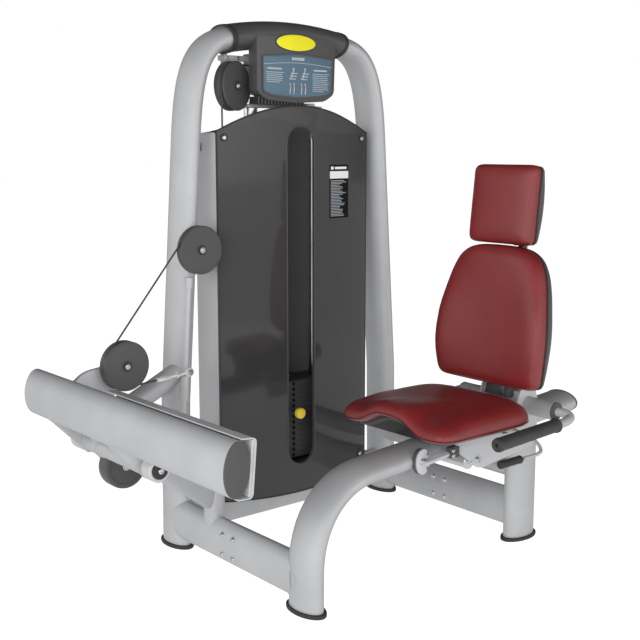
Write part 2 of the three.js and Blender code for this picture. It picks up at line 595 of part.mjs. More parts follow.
function buildCables() {
  const across = vec(-TOP_AXIS.y, TOP_AXIS.x, 0);
  const up = vec(0, 0, 1);
  const centreLeft = vec(-1, 0, 0);
  const stackTop = PLATE_TOP + 26 + GAP;
  const centre = CENTRE_PULLEY;
  const stackRun = [stackPoint(stackTop), vec(centre.x + centre.r, centre.y, centre.z - GAP)];
  part('cable_stack_run', cableThrough(stackRun), cableBlack);
  const diagonal = vec(-BASE_AXIS.y, BASE_AXIS.x, 0);
  const run = armRun();
  const leave = (Math.atan2(run.start.z - MID_PULLEY.z, run.start.x - MID_PULLEY.x) * 180) / Math.PI;
  const tower = [
    ...arcPoints(centre, centreLeft, up, centre.r, 180, 95, 6),
    ...arcPoints(TOP_PULLEY, across, up, CABLE_R, 85, 180, 7),
    ...arcPoints(BASE_PULLEY, diagonal, up, BASE_PULLEY.r, 0, -180, 10),
    ...arcPoints(MID_PULLEY, vec(1, 0, 0), up, CABLE_R, 0, leave - SWING_ROOM, 9),
  ];
  part('cable_tower_run', cableThrough(tower), cableBlack);
  const short = run.end.clone().addScaledVector(run.along, -WHEEL_ROOM);
  const split = short.clone().addScaledVector(run.along, -60);
  const gap = run.along.clone().multiplyScalar(GAP);
  part('arm_cable_upper', rod(run.start.clone().add(gap), split, CABLE_D / 2, 8), cableBlack);
  part('arm_cable_upper_end', rod(split.clone().add(gap), short, CABLE_D / 2, 8), cableBlack);
  const back = returnRun();
  const ferrule = back.end.clone().addScaledVector(back.along, -104);
  const neck = back.end.clone().addScaledVector(back.along, -62);
  const shank = back.end.clone().addScaledVector(back.along, -12);
  const eye = cut(
    prism('xz', ellipsePoints(13, 13, 16, EYE.x, EYE.z), CABLE_Y - 5, CABLE_Y + 4),
    rod(vec(EYE.x, CABLE_Y - 20, EYE.z), vec(EYE.x, CABLE_Y + 20, EYE.z), 5, 10),
  );
  part('turnbuckle', union(rod(ferrule, neck, 6.5, 12), rod(neck, shank, 4.5, 12), eye), chrome);
  const stubEnd = ferrule.clone().addScaledVector(back.along, -GAP);
  const stubStart = back.start.clone().addScaledVector(back.along, WHEEL_ROOM);
  part('arm_cable_lower_end', rod(stubStart, stubEnd, CABLE_D / 2, 8), cableBlack);
}

// Seat: a carriage on the rail with pads, handles and the release lever.
function carriagePlate() {
  return [
    [442, 351], [470, 391], [690, 411], [712, 470], [772, 474], [790, 410], [772, 300], [560, 276], [538, 280],
  ];
}

function buildCarriage() {
  const plates = [[-669, -662], [-532, -525]].map(([a, b]) => prism('xz', carriagePlate(), a, b));
  const deckLine = (lift) => [470, 690].map((x) => [x, railZ(x) + TUBE_SHORT / 2 + lift]);
  const [low, high] = [deckLine(2), deckLine(7)];
  const deck = prism('xz', [...low, high[1], high[0]], -663, -531);
  const bridge = box(716, 764, -663, -531, 424, 462);
  const upright = prism('xz', [[728, 440], [764, 440], [800, 800], [764, 800]], -622, -572);
  const neck = prism('xz', [[760, 790], [800, 790], [812, 990], [790, 990]], -607, -587);
  const mounts = [[540, 566], [760, 786], [900, 926]].map(([z0, z1]) => backMount(z0, z1));
  const tubes = [[-664, -768], [-530, -426]].map(([a, b]) => rod(vec(744, a, 421), vec(744, b, 421), 25, 16));
  const block = box(418, 448, -684, -668.5, 332, 358);
  const link = rod(vec(330, -676, railZ(330) - 3), vec(436, -676, railZ(436) + 1), 8, 6);
  const bolts = [[538, 301], [740, 330]].map(([x, z]) => rod(vec(x, -676, z), vec(x, -664, z), 8, 10));
  const bores = [rod(vec(515, -672, rollerZ()), vec(515, -520, rollerZ()), 5.4, 12)];
  const body = union(...plates, deck, bridge, upright, neck, ...mounts, ...tubes, block, link, ...bolts);
  part('seat_carriage', cut(body, ...bores), paint);
  const roller = rod(vec(515, -660, rollerZ()), vec(515, -534, rollerZ()), 20, 16);
  const axle = rod(vec(515, -671, rollerZ()), vec(515, -523, rollerZ()), 5, 12);
  part('rail_roller', union(roller, axle), chrome);
}

function rollerZ() {
  return railZ(515) - TUBE_SHORT / 2 - 21;
}

function backX(z) {
  return 633 + Math.tan(BACK_TILT) * (z - 450);
}

function backMount(z0, z1) {
  const x = backX((z0 + z1) / 2) + 62.5;
  const to = z1 > 890 ? 800 : 772 + (z0 - 540) * 0.1;
  return box(x + 3, to, -617, -577, z0, z1);
}

function buildRailFittings() {
  const notched = ellipsePoints(22, 33, 16, 333, railZ(333) - 1);
  const notches = [[352, 356], [358, 330], [350, 306]].map(([x, z]) => rod(vec(x, -700, z), vec(x, -640, z), 5, 8));
  const plate = prism('xz', notched, -667, -650);
  part('seat_stop_plate', cut(plate, rail(GAP), ...notches), paint);
}

// A pad: an outline in its own plane, thick, with both faces drawn in.
function padBody(outline, thick, inset) {
  const count = outline.length;
  const centre = outline.reduce(([a, b], [x, y]) => [a + x / count, b + y / count], [0, 0]);
  const shrink = ([x, y]) => {
    const [dx, dy] = [x - centre[0], y - centre[1]];
    const length = Math.hypot(dx, dy);
    return [x - (dx / length) * inset, y - (dy / length) * inset];
  };
  const layers = [[outline.map(shrink), 0], [outline, 10], [outline, thick - 16], [outline.map(shrink), thick]];
  const position = [];
  const index = [];
  for (const [ring, depth] of layers) for (const [x, y] of ring) position.push(x, y, depth);
  for (let k = 0; k < layers.length - 1; k += 1) bandFaces(index, k * count, count);
  capFaces(index, 0, count, true);
  capFaces(index, (layers.length - 1) * count, count, false);
  return indexed(position, index);
}

// Stands a pad up on its back plane: outline x to Y, outline y up the tilted back, thickness towards the user.
function standPad(outline, thick, baseZ, push) {
  const geometry = padBody(outline, thick, 10);
  const up = vec(Math.sin(BACK_TILT), 0, Math.cos(BACK_TILT));
  const front = vec(-Math.cos(BACK_TILT), 0, Math.sin(BACK_TILT));
  geometry.applyMatrix4(new THREE.Matrix4().makeBasis(vec(0, 1, 0), up, front));
  geometry.translate(backX(baseZ) + push, SEAT_Y, baseZ);
  return solid(geometry);
}

function buildPads() {
  const backOutline = [
    [-150, 0], [-176, 12], [-190, 50], [-186, 110], [-150, 250], [-120, 330], [-90, 366], [-60, 375],
    [60, 375], [90, 366], [120, 330], [150, 250], [186, 110], [190, 50], [176, 12], [150, 0],
  ];
  const headOutline = roundedRect(-102, 102, 0, 208, 16, 2);
  part('back_pad', standPad(backOutline, 60, 492, 62), leather);
  part('head_pad', standPad(headOutline, 56, 878, 62), leather);
  part('seat_pad', seatPad(), leather);
}

// The seat's plan outline, drawn in by inset: the same number of points at any inset.
function seatRing(inset) {
  const middle = (SEAT.front + SEAT.rear) / 2;
  const [halfLength, half] = [(SEAT.rear - SEAT.front) / 2 - inset, SEAT.half - inset];
  const corners = [[SEAT.rearCorner, 1, 1], [SEAT.frontCorner, -1, 1], [SEAT.frontCorner, -1, -1], [SEAT.rearCorner, 1, -1]];
  const arcs = corners.map(([radius, signX, signY], k) => {
    const r = Math.max(radius - inset, 12);
    return [0, 1, 2, 3, 4].map((i) => {
      const angle = (Math.PI / 2) * (k + i / 4);
      const centre = [middle + signX * (halfLength - r), signY * (half - r)];
      return [centre[0] + r * Math.cos(angle), centre[1] + r * Math.sin(angle)];
    });
  });
  return arcs.flatMap((arc, k) => {
    const steps = k === 1 ? 12 : 6;
    const [from, to] = [arc[4], arcs[(k + 1) % 4][0]];
    const straight = [];
    for (let i = 1; i < steps; i += 1) {
      straight.push([from[0] + ((to[0] - from[0]) * i) / steps, from[1] + ((to[1] - from[1]) * i) / steps]);
    }
    return [...arc, ...straight];
  });
}

const smooth = (low, high, value) => THREE.MathUtils.smoothstep(value, low, high);

// Heights of the seat's top and underside: the middle of the front edge arches up over the rail.
function seatHeights(x, y) {
  const s = (x - SEAT.front) / (SEAT.rear - SEAT.front);
  const t = Math.abs(y) / SEAT.half;
  const side = smooth(0.12, 0.65, t);
  const arch = (1 - side) * (1 - smooth(0, 0.5, s));
  const top = SEAT.high + 8 * (1 - t * t) + 16 * arch - 12 * side * (1 - smooth(0, 0.4, s));
  return { low: SEAT.low + 38 * arch, top };
}

function seatPad() {
  const layers = [[120, 0], [60, 0], [10, 0], [2, 0.15], [0, 0.4], [4, 0.72], [14, 0.92], [34, 1], [80, 1], [130, 1]];
  const position = [];
  const index = [];
  for (const [inset, mix] of layers) {
    for (const [x, y] of seatRing(inset)) {
      const { low, top } = seatHeights(x, y);
      position.push(x, SEAT_Y + y, low + (top - low) * mix);
    }
  }
  const count = seatRing(0).length;
  for (let k = 0; k < layers.length - 1; k += 1) bandFaces(index, k * count, count);
  capFaces(index, 0, count, true);
  capFaces(index, (layers.length - 1) * count, count, false);
  return solid(indexed(position, index));
}

function buildHandles() {
  const names = [['near_handle', 'near_grip', -1], ['far_handle', 'far_grip', 1]];
  for (const [handleName, gripName, side] of names) {
    const y = (offset) => SEAT_Y + side * offset;
    const straight = (x) => vec(x, y(HANDLE.reach), HANDLE.z + HANDLE.slope * (x - HANDLE.front));
    const bendEnd = straight(708);
    const bend = new THREE.CubicBezierCurve3(
      vec(744, y(174), 420), vec(744, y(200), 418), straight(748), bendEnd,
    );
    part(handleName, sweep([...bend.getPoints(8), straight(462)], ellipsePoints(12.5, 12.5, 12)), paint);
    const core = rod(straight(462 - GAP), straight(730), 13.2, 12);
    part(gripName, cut(rod(straight(HANDLE.front), straight(700), 18, 16), core), rubber);
  }
  const lever = new THREE.CatmullRomCurve3([
    vec(648, -671, 372), vec(656, -705, 368), vec(676, -750, 348),
    vec(676, -773, 326), vec(650, -776, 318), vec(600, -776, 318),
  ]);
  const boss = rod(vec(648, -687, 372), vec(648, -669.5, 372), 11, 12);
  const grip = rod(vec(504, -776, 318), vec(600, -776, 318), 11, 14);
  part('release_lever', union(sweep(lever.getPoints(16), ellipsePoints(5, 5, 8)), boss, grip), chrome);
}

buildFeet();
buildFrame();
buildCasing();
buildHead();
buildGuides();
buildStack();
buildPulleys();
buildPulleyFrame();
buildArm();
buildSupports();
buildCables();
buildCarriage();
buildRailFittings();
buildPads();
buildHandles();

const bounds = new THREE.Box3().setFromObject(model);
const middle = bounds.getCenter(new THREE.Vector3());
model.position.set(-middle.x, -middle.y, -bounds.min.z);

export default model;
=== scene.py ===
import math

import bmesh
import bpy
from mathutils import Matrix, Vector
from mathutils.bvhtree import BVHTree
from mathutils.geometry import tessellate_polygon


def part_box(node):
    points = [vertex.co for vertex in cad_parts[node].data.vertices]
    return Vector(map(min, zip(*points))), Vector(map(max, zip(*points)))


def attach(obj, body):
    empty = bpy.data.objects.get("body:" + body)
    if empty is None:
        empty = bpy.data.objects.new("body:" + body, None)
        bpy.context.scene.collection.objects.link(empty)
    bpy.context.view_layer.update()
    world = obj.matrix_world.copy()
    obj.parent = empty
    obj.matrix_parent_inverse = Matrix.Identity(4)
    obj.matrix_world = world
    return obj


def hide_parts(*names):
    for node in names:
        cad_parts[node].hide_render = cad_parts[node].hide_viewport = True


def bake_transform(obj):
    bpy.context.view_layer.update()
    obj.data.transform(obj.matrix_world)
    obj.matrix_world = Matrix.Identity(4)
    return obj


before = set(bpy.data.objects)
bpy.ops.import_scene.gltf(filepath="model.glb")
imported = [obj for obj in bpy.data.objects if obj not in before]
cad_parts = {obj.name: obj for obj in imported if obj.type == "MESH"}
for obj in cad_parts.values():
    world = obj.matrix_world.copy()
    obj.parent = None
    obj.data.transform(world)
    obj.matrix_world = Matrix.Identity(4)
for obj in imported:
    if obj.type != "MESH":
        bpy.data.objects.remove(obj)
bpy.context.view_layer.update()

# The script's own numbers are in millimetres from the left tower foot, as in the part's source.
SEAT_Y = -597
FOOT_LOW, FOOT_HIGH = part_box("foot_pad_front")
ORIGIN = (FOOT_LOW + FOOT_HIGH) / 2 - Vector((0, SEAT_Y / 1000, (FOOT_HIGH.z - FOOT_LOW.z) / 2))

TOWER_WIDTH = 808
TOWER_MID = TOWER_WIDTH / 2
HALF_LONG, HALF_SHORT = 58, 31  # of the frame's oval tube
TIP = 0.01  # the radius of a turned profile's end on its axis
BEAM_Z, UPPER_BEAM_Z = 84, 208
POST_X = 806
RAIL_SLOPE = 0.076
PIVOT_X, PIVOT_Z = -250, 347
BAR_X, BAR_Z, BAR_TILT = -400, 507, math.radians(-5)
STACK_Y = 12
PLATE_PITCH = 17.2
STACK_BASE = 190
ROD_X = 115
YOKE_Z = 1249
CABLE_Y = -80
CABLE_R = 60
ARM_PULLEY = Vector((-197, CABLE_Y, 564))
MID_PULLEY = Vector((44, CABLE_Y, 857))
TOP_PULLEY = Vector((211, -17, 1306))
TOP_AXIS = Vector((0.34, -0.94, 0)).normalized()
CENTRE_PULLEY = Vector((354, STACK_Y, 1316))
BASE_PULLEY = Vector((129.5, -58.5, 186))
BASE_AXIS = Vector((0.645, -0.765, 0)).normalized()
EYE = Vector((3, CABLE_Y, 520))
BACK_TILT = math.radians(6.1)
UP = Vector((0, 0, 1))
ALONG_X = Vector((1, 0, 0))
TO_USER = Vector((0, -1, 0))


def at(x, y, z):
    """A point of the working frame in the row frame, in metres."""
    return ORIGIN + Vector((x, y, z)) / 1000


def rail_z(x):
    return 334 + RAIL_SLOPE * (x - 317)


def smoothstep(low, high, value):
    t = min(max((value - low) / (high - low), 0), 1)
    return t * t * (3 - 2 * t)


# ---------------------------------------------------------------- materials

def node(tree, kind, **values):
    """A shader node with its input values, an underscore in a socket's name standing for a space."""
    made = tree.nodes.new("ShaderNode" + kind)
    for socket, value in values.items():
        made.inputs[socket.replace("_", " ")].default_value = value
    return made


def surface(name, slot, colour, rough, metal=0.0, grain=900, tint=0.05, vary=0.05, bump=0.1, depth=0.0002,
            cells=False, **sockets):
    """A material with fine grain over a slow drift of tone, paired with its colour slot."""
    made = bpy.data.materials.new(name)
    made.use_nodes = True
    tree = made.node_tree
    join = tree.links.new
    shader = tree.nodes["Principled BSDF"]
    for socket, value in dict(sockets, Metallic=metal).items():
        shader.inputs[socket.replace("_", " ")].default_value = value
    if cells:
        fine = node(tree, "TexVoronoi", Scale=grain)
        fine.feature = "SMOOTH_F1"
        height = fine.outputs["Distance"]
    else:
        fine = node(tree, "TexNoise", Scale=grain, Detail=4)
        height = fine.outputs["Fac"]
    slow = node(tree, "TexNoise", Scale=9, Detail=3)
    place = node(tree, "TexCoord")
    for texture in (fine, slow):
        join(place.outputs["Object"], texture.inputs["Vector"])
    blend = node(tree, "Math")
    blend.operation = "MULTIPLY_ADD"
    blend.inputs[1].default_value = 0.6
    join(height, blend.inputs[0])
    join(slow.outputs["Fac"], blend.inputs[2])
    ramp = node(tree, "ValToRGB")
    for element, position, shade in zip(ramp.color_ramp.elements, (0.45, 1), (1 - tint, 1 + tint)):
        element.position = position
        element.color = (*[min(c * shade, 1) for c in colour], 1)
    join(blend.outputs[0], ramp.inputs["Fac"])
    join(ramp.outputs["Color"], shader.inputs["Base Color"])
    gloss = node(tree, "MapRange", From_Min=0.3, From_Max=1.2,
                 To_Min=max(rough - vary, 0.02), To_Max=min(rough + vary, 1))
    join(blend.outputs[0], gloss.inputs["Value"])
    join(gloss.outputs["Result"], shader.inputs["Roughness"])
    relief = node(tree, "Bump", Strength=bump, Distance=depth)
    join(height, relief.inputs["Height"])
    join(relief.outputs["Normal"], shader.inputs["Normal"])
    return made, slot


SILVER = surface("silver_powder_coat", "silver_paint", (0.53, 0.535, 0.545), 0.5, 0.4, grain=1400, tint=0.07,
                 bump=0.25, depth=0.0001)
PALE_SILVER = surface("pale_machined_paint", "silver_paint", (0.60, 0.605, 0.615), 0.45, 0.35, grain=1600,
                      bump=0.2, depth=0.0001)
SMOKED_ACRYLIC = surface("smoked_acrylic", "dark_plastic", (0.045, 0.045, 0.047), 0.09, grain=160, tint=0.04,
                         vary=0.02, bump=0.02, Alpha=0.9, Coat_Weight=0.3)
INNER_GREY = surface("grey_rear_panel", "dark_plastic", (0.17, 0.17, 0.172), 0.4, tint=0.06, bump=0.2)
LABEL_BLACK = surface("label_black", "dark_plastic", (0.005, 0.005, 0.005), 0.6, grain=600, tint=0.1,
                      bump=0.05, Specular_IOR_Level=0.15)
DARK_PLASTIC = surface("dark_moulded_plastic", "dark_plastic", (0.07, 0.07, 0.072), 0.34, grain=1100,
                       tint=0.08, bump=0.35, depth=0.00012)
GLOSS_BLACK = surface("gloss_black_shell", "gloss_black", (0.028, 0.028, 0.029), 0.16, grain=500, tint=0.1,
                      vary=0.03, bump=0.05, Coat_Weight=0.5)
RUBBER = surface("black_rubber", "black_rubber", (0.03, 0.03, 0.031), 0.62, grain=800, tint=0.15, bump=0.5,
                 depth=0.0003)
GRIP_FOAM = surface("grip_rubber", "black_rubber", (0.042, 0.042, 0.043), 0.45, grain=1300, tint=0.12,
                    bump=0.4, depth=0.0003)
CHROME = surface("bright_chrome", "bright_steel", (0.80, 0.81, 0.82), 0.2, 1.0, grain=700, tint=0.03,
                 vary=0.04, bump=0.03)
ZINC = surface("bright_zinc", "bright_steel", (0.88, 0.88, 0.87), 0.36, 0.55, tint=0.06, bump=0.25)
BLACK_IRON = surface("black_cast_iron", "black_iron", (0.05, 0.05, 0.051), 0.42, 0.2, grain=420, tint=0.2,
                     vary=0.1, bump=0.5, depth=0.0004)
LEATHER = surface("maroon_leather", "maroon_leather", (0.20, 0.013, 0.014), 0.42, grain=620, tint=0.12,
                  vary=0.06, bump=0.3, depth=0.00035, cells=True, Specular_IOR_Level=0.8, Coat_Weight=0.3,
                  Coat_Roughness=0.32)
SEAM_THREAD = surface("seam_piping", "maroon_leather", (0.09, 0.008, 0.009), 0.5, grain=1500, tint=0.2,
                      bump=0.5, depth=0.0003)
YELLOW = surface("yellow_plastic", "yellow_plastic", (0.84, 0.64, 0.05), 0.3)
BADGE_YELLOW = surface("badge_yellow", "yellow_plastic", (0.80, 0.74, 0.003), 0.45, grain=600, tint=0.04,
                       bump=0.05)
NAVY = surface("badge_blue", "yellow_plastic", (0.02, 0.035, 0.09), 0.35, grain=600, tint=0.06, bump=0.05)
PLACARD_BLUE = surface("placard_blue", "dark_plastic", (0.085, 0.15, 0.20), 0.45, grain=700, tint=0.06,
                       bump=0.05)
PRINT_WHITE = surface("print_white", "dark_plastic", (0.42, 0.46, 0.49), 0.5, grain=700, tint=0.04, bump=0.05)
PRINT_BRIGHT = surface("print_bright", "dark_plastic", (0.85, 0.85, 0.85), 0.5, grain=700, tint=0.03,
                       bump=0.05)
PRINT_RED = surface("print_red", "dark_plastic", (0.5, 0.07, 0.05), 0.5, grain=700, bump=0.05)
CABLE_SHEATH = surface("cable_sheath", "cable", (0.05, 0.05, 0.052), 0.4, grain=1800, tint=0.2, bump=0.6,
                       depth=0.0003)

# ---------------------------------------------------------------- mesh tools

def finish_piece(obj, finish, replaces="", body="frame", bevel=0.0, angle=35, slot=None):
    """Material, shading, bevel, body and the CAD nodes, one or more words, that a piece stands for."""
    obj.data.materials.clear()
    obj.data.materials.append(finish[0])
    obj.data.shade_smooth()
    if bevel:
        edge = obj.modifiers.new("edges", "BEVEL")
        edge.width = bevel / 1000
        edge.segments = 2
        edge.limit_method = "ANGLE"
        edge.angle_limit = math.radians(angle)
        apply_modifiers(obj)
    obj.data.set_sharp_from_angle(angle=math.radians(angle))
    if body:
        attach(obj, body)
    if replaces:
        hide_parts(*replaces.split())
    return obj


def add_object(name, data):
    obj = bpy.data.objects.new(name, data)
    bpy.context.scene.collection.objects.link(obj)
    return obj


def apply_modifiers(obj):
    graph = bpy.context.evaluated_depsgraph_get()
    data = bpy.data.meshes.new_from_object(obj.evaluated_get(graph))
    obj.modifiers.clear()
    obj.data = data


class Shell:
    """Points and faces of one piece, in the working frame, gathered from several closed forms."""

    def __init__(self):
        self.points = []
        self.faces = []

    def rings(self, rings, caps=True, loop=False):
        """Joins rings of equal length into a skin."""
        first, count = len(self.points), len(rings[0])
        for ring in rings:
            self.points.extend(Vector(p) for p in ring)
        pairs = len(rings) if loop else len(rings) - 1
        for k in range(pairs):
            a, b = first + k * count, first + ((k + 1) % len(rings)) * count
            for j in range(count):
                i = (j + 1) % count
                self.faces.append((a + j, a + i, b + i, b + j))
        if caps and not loop:
            last = first + (len(rings) - 1) * count
            self.faces.append(tuple(range(first, first + count))[::-1])
            self.faces.append(tuple(range(last, last + count)))
        return self

    def sweep(self, path, outline, ends=(), loop=False):
        """Sweeps an outline along a path, one mitred ring at each point; ends adds (advance, scale) rings."""
        path = [Vector(p) for p in path]
        count = len(path)
        first = (path[1] - path[0]).normalized()
        side = ALONG_X.copy() if abs(first.z) > 0.9 else UP.copy()
        rings, frames = [], []
        for i, p in enumerate(path):
            if loop:
                into, out = p - path[i - 1], path[(i + 1) % count] - p
            else:
                into = path[max(i, 1)] - path[max(i - 1, 0)]
                out = path[min(i + 1, count - 1)] - path[min(i, count - 2)]
            along = (into.normalized() + out.normalized()).normalized()
            side = (side - along * side.dot(along)).normalized()
            over = along.cross(side)
            frames.append((p, along, side, over))
            rings.append([p + side * a + over * b for a, b in outline])
        for advance, scale in ends:
            for index, sign in ((0, -1), (-1, 1)):
                p, along, side, over = frames[index]
                tip = p + along * (sign * advance)
                ring = [tip + side * (a * scale) + over * (b * scale) for a, b in outline]
                rings.insert(0, ring) if sign < 0 else rings.append(ring)
        return self.rings(rings, loop=loop)

    def turned(self, centre, axis, profile, sides=48):
        """A profile of (radius, distance along the axis) turned about it; an open end closes on the axis."""
        if profile[0] != profile[-1]:
            ends = [[(TIP, along)] if radius > TIP else [] for radius, along in (profile[0], profile[-1])]
            profile = [*ends[0], *profile, *ends[1]]
        centre, axis = Vector(centre), Vector(axis).normalized()
        side = axis.orthogonal().normalized()
        over = axis.cross(side)
        rings = []
        for radius, along in profile:
            middle = centre + axis * along
            rings.append([middle + (side * math.cos(t) + over * math.sin(t)) * radius
                          for t in (math.tau * j / sides for j in range(sides))])
        return self.rings(rings, caps=profile[0] != profile[-1])

    def plate(self, plane, outline, low, high, holes=()):
        """A flat plate with holes; plane names the axes of the outline."""
        basis = {"xz": (0, 2, 1), "xy": (0, 1, 2), "yz": (1, 2, 0)}[plane]

        def lift(a, b, c):
            point = [0, 0, 0]
            point[basis[0]], point[basis[1]], point[basis[2]] = a, b, c
            return Vector(point)

        loops = [outline, *holes]
        first = len(self.points)
        spans, start = [], first
        for depth in (low, high):
            for loop in loops:
                self.points.extend(lift(a, b, depth) for a, b in loop)
        total = sum(len(loop) for loop in loops)
        for loop in loops:
            spans.append((start, len(loop)))
            start += len(loop)
        flat = [[Vector((a, b, 0)) for a, b in loop] for loop in loops]
        for tri in tessellate_polygon(flat):
            self.faces.append(tuple(first + i for i in tri))
            self.faces.append(tuple(first + total + i for i in reversed(tri)))
        for begin, count in spans:
            for j in range(count):
                i = (j + 1) % count
                self.faces.append((begin + j, begin + i, begin + i + total, begin + j + total))
        return self

    def make(self, name, finish, *details, **more):
        data = bpy.data.meshes.new(name)
        data.from_pydata([at(*p) for p in self.points], [], self.faces)
        work = bmesh.new()
        work.from_mesh(data)
        bmesh.ops.remove_doubles(work, verts=work.verts, dist=1e-6)
        bmesh.ops.recalc_face_normals(work, faces=work.faces)
        work.to_mesh(data)
        work.free()
        return finish_piece(add_object(name, data), finish, *details, **more)


def ellipse(half_a, half_b, sides=48, a=0.0, b=0.0):
    points = []
    for k in range(sides):
        t = math.tau * k / sides
        x, y = half_a * math.cos(t), half_b * math.sin(t)
        points.append((a + x, b + y))
    return points


def rounded(points, radius, steps=6):
    """A polygon with its corners rounded; radius may be one number or one for each corner."""
    out = []
    count = len(points)
    radii = radius if isinstance(radius, (list, tuple)) else [radius] * count
    for k, r in enumerate(radii):
        p = Vector(points[k]).to_3d()
        a = Vector(points[k - 1]).to_3d() - p
        b = Vector(points[(k + 1) % count]).to_3d() - p
        half = a.angle(b) / 2
        reach = min(r / math.tan(half), a.length * 0.48, b.length * 0.48)
        if reach < 0.05:
            out.append(tuple(p[:2]))
            continue
        start, end = p + a.normalized() * reach, p + b.normalized() * reach
        for i in range(steps + 1):
            t = i / steps
            q = start * (1 - t) ** 2 + p * (2 * t * (1 - t)) + end * t ** 2
            out.append((q.x, q.y))
    return out


def rectangle(a0, a1, b0, b1, radius=0.0, steps=6):
    corners = [(a0, b0), (a1, b0), (a1, b1), (a0, b1)]
    return rounded(corners, radius, steps) if radius else corners


def cubic(p0, p1, p2, p3, steps):
    a, b, c, d = Vector(p0), Vector(p1), Vector(p2), Vector(p3)
    points = []
    for i in range(steps + 1):
        t = i / steps
        u = 1 - t
        points.append(a * u ** 3 + b * (3 * u * u * t) + c * (3 * u * t * t) + d * t ** 3)
    return points


def spline(points, steps=8):
    """A smooth curve through the points."""
    points = [Vector(p).to_3d() for p in points]
    padded = [points[0] * 2 - points[1], *points, points[-1] * 2 - points[-2]]
    out = []
    for k in range(1, len(padded) - 2):
        a, b, c, d = padded[k - 1:k + 3]
        for i in range(steps):
            t = i / steps
            bend, twist = 2 * a - 5 * b + 4 * c - d, 3 * b - a - 3 * c + d
            out.append(0.5 * (2 * b + (c - a) * t + bend * t * t + twist * t ** 3))
    return [*out, points[-1]]


def bolt(shell, centre, axis, radius=8.0, height=5.0):
    """A button head with a socket, its back at centre, facing along the axis."""
    inner = radius * 0.5
    profile = [(radius * 0.9, 0), (radius, 0.5), (radius, height * 0.35), (radius * 0.88, height * 0.75),
               (radius * 0.66, height), (inner, height), (inner * 0.96, height * 0.45), (TIP, height * 0.4)]
    return shell.turned(centre, axis, profile, 24)


def washer(shell, centre, axis, radius, thick=1.6):
    return shell.turned(centre, axis, [(radius, 0), (radius, thick * 0.7), (radius - 0.6, thick)], 32)


def hex_head(shell, centre, axis, radius=9.0, height=6.0):
    profile = [(radius, 0), (radius, height - 1), (radius - 1.2, height)]
    return shell.turned(centre, axis, profile, 6)


def bead(shell, path, radius=3.0):
    """A weld bead or a seam along a closed path."""
    return shell.sweep(path, ellipse(radius, radius, 8), loop=True)


ROUND_END = ((2.0, 0.93), (3.0, 0.80))

# ---------------------------------------------------------------- frame tubes

FRAME_OVAL = ellipse(HALF_SHORT, HALF_LONG, 56)


def on_side(across):
    """How far out the flat side of the oval tube lies, this far from the middle of that side."""
    return HALF_SHORT * math.sqrt(1 - (across / HALF_LONG) ** 2)


def crossbar_path(steps):
    start, peak = Vector((184, 0, 1434)), Vector((TOWER_MID, 0, 1434 + 0.2 * (TOWER_MID - 184)))
    end = Vector((TOWER_WIDTH - 184, 0, 1434))
    shares = [i / steps for i in range(steps + 1)]
    return [start * (1 - t) ** 2 + peak * (2 * t * (1 - t)) + end * t * t for t in shares]


def tower_path():
    shoulder, crown = Vector((58, 0, 1170)), Vector((184, 0, 1434))
    lean, reach = Vector((0.075, 0, 1)) * 140, Vector((1, 0, 0.2)) * 95
    foot, knee = Vector((2, 0, 10.4)), Vector((7, 0, 425))
    lower = [foot.lerp(knee, i / 4) for i in range(4)]
    upper = [knee.lerp(shoulder, i / 8) for i in range(8)]
    left = [*lower, *upper, *cubic(shoulder, shoulder + lean, crown - reach, crown, 22)]
    right = [(TOWER_WIDTH - p.x, p.y, p.z) for p in reversed(left)]
    return [*left, *crossbar_path(12)[1:-1], *right]


def rail_path():
    foot, knee, start = Vector((0, SEAT_Y, 10.4)), Vector((0, SEAT_Y, 100)), Vector((190, SEAT_Y, 324))
    bend = cubic(knee, (0, SEAT_Y, 235), (80, SEAT_Y, 315.6), start, 26)
    run = [(x, SEAT_Y, rail_z(x)) for x in (300, 420, 560, 700, 850, 985)]
    return [foot, foot.lerp(knee, 0.5), *bend, *run]


def beam_weld(shell, x, y, outward, half_y=HALF_LONG, z=BEAM_Z, half_z=HALF_LONG):
    """The bead where a beam along Y meets an upright oval tube."""
    ring = [(x + a, y + outward * half_y * abs(b) * 0.98, z + half_z * b)
            for a, b in ellipse(HALF_SHORT - 0.5, 1, 40)]
    return bead(shell, ring, 2.6)


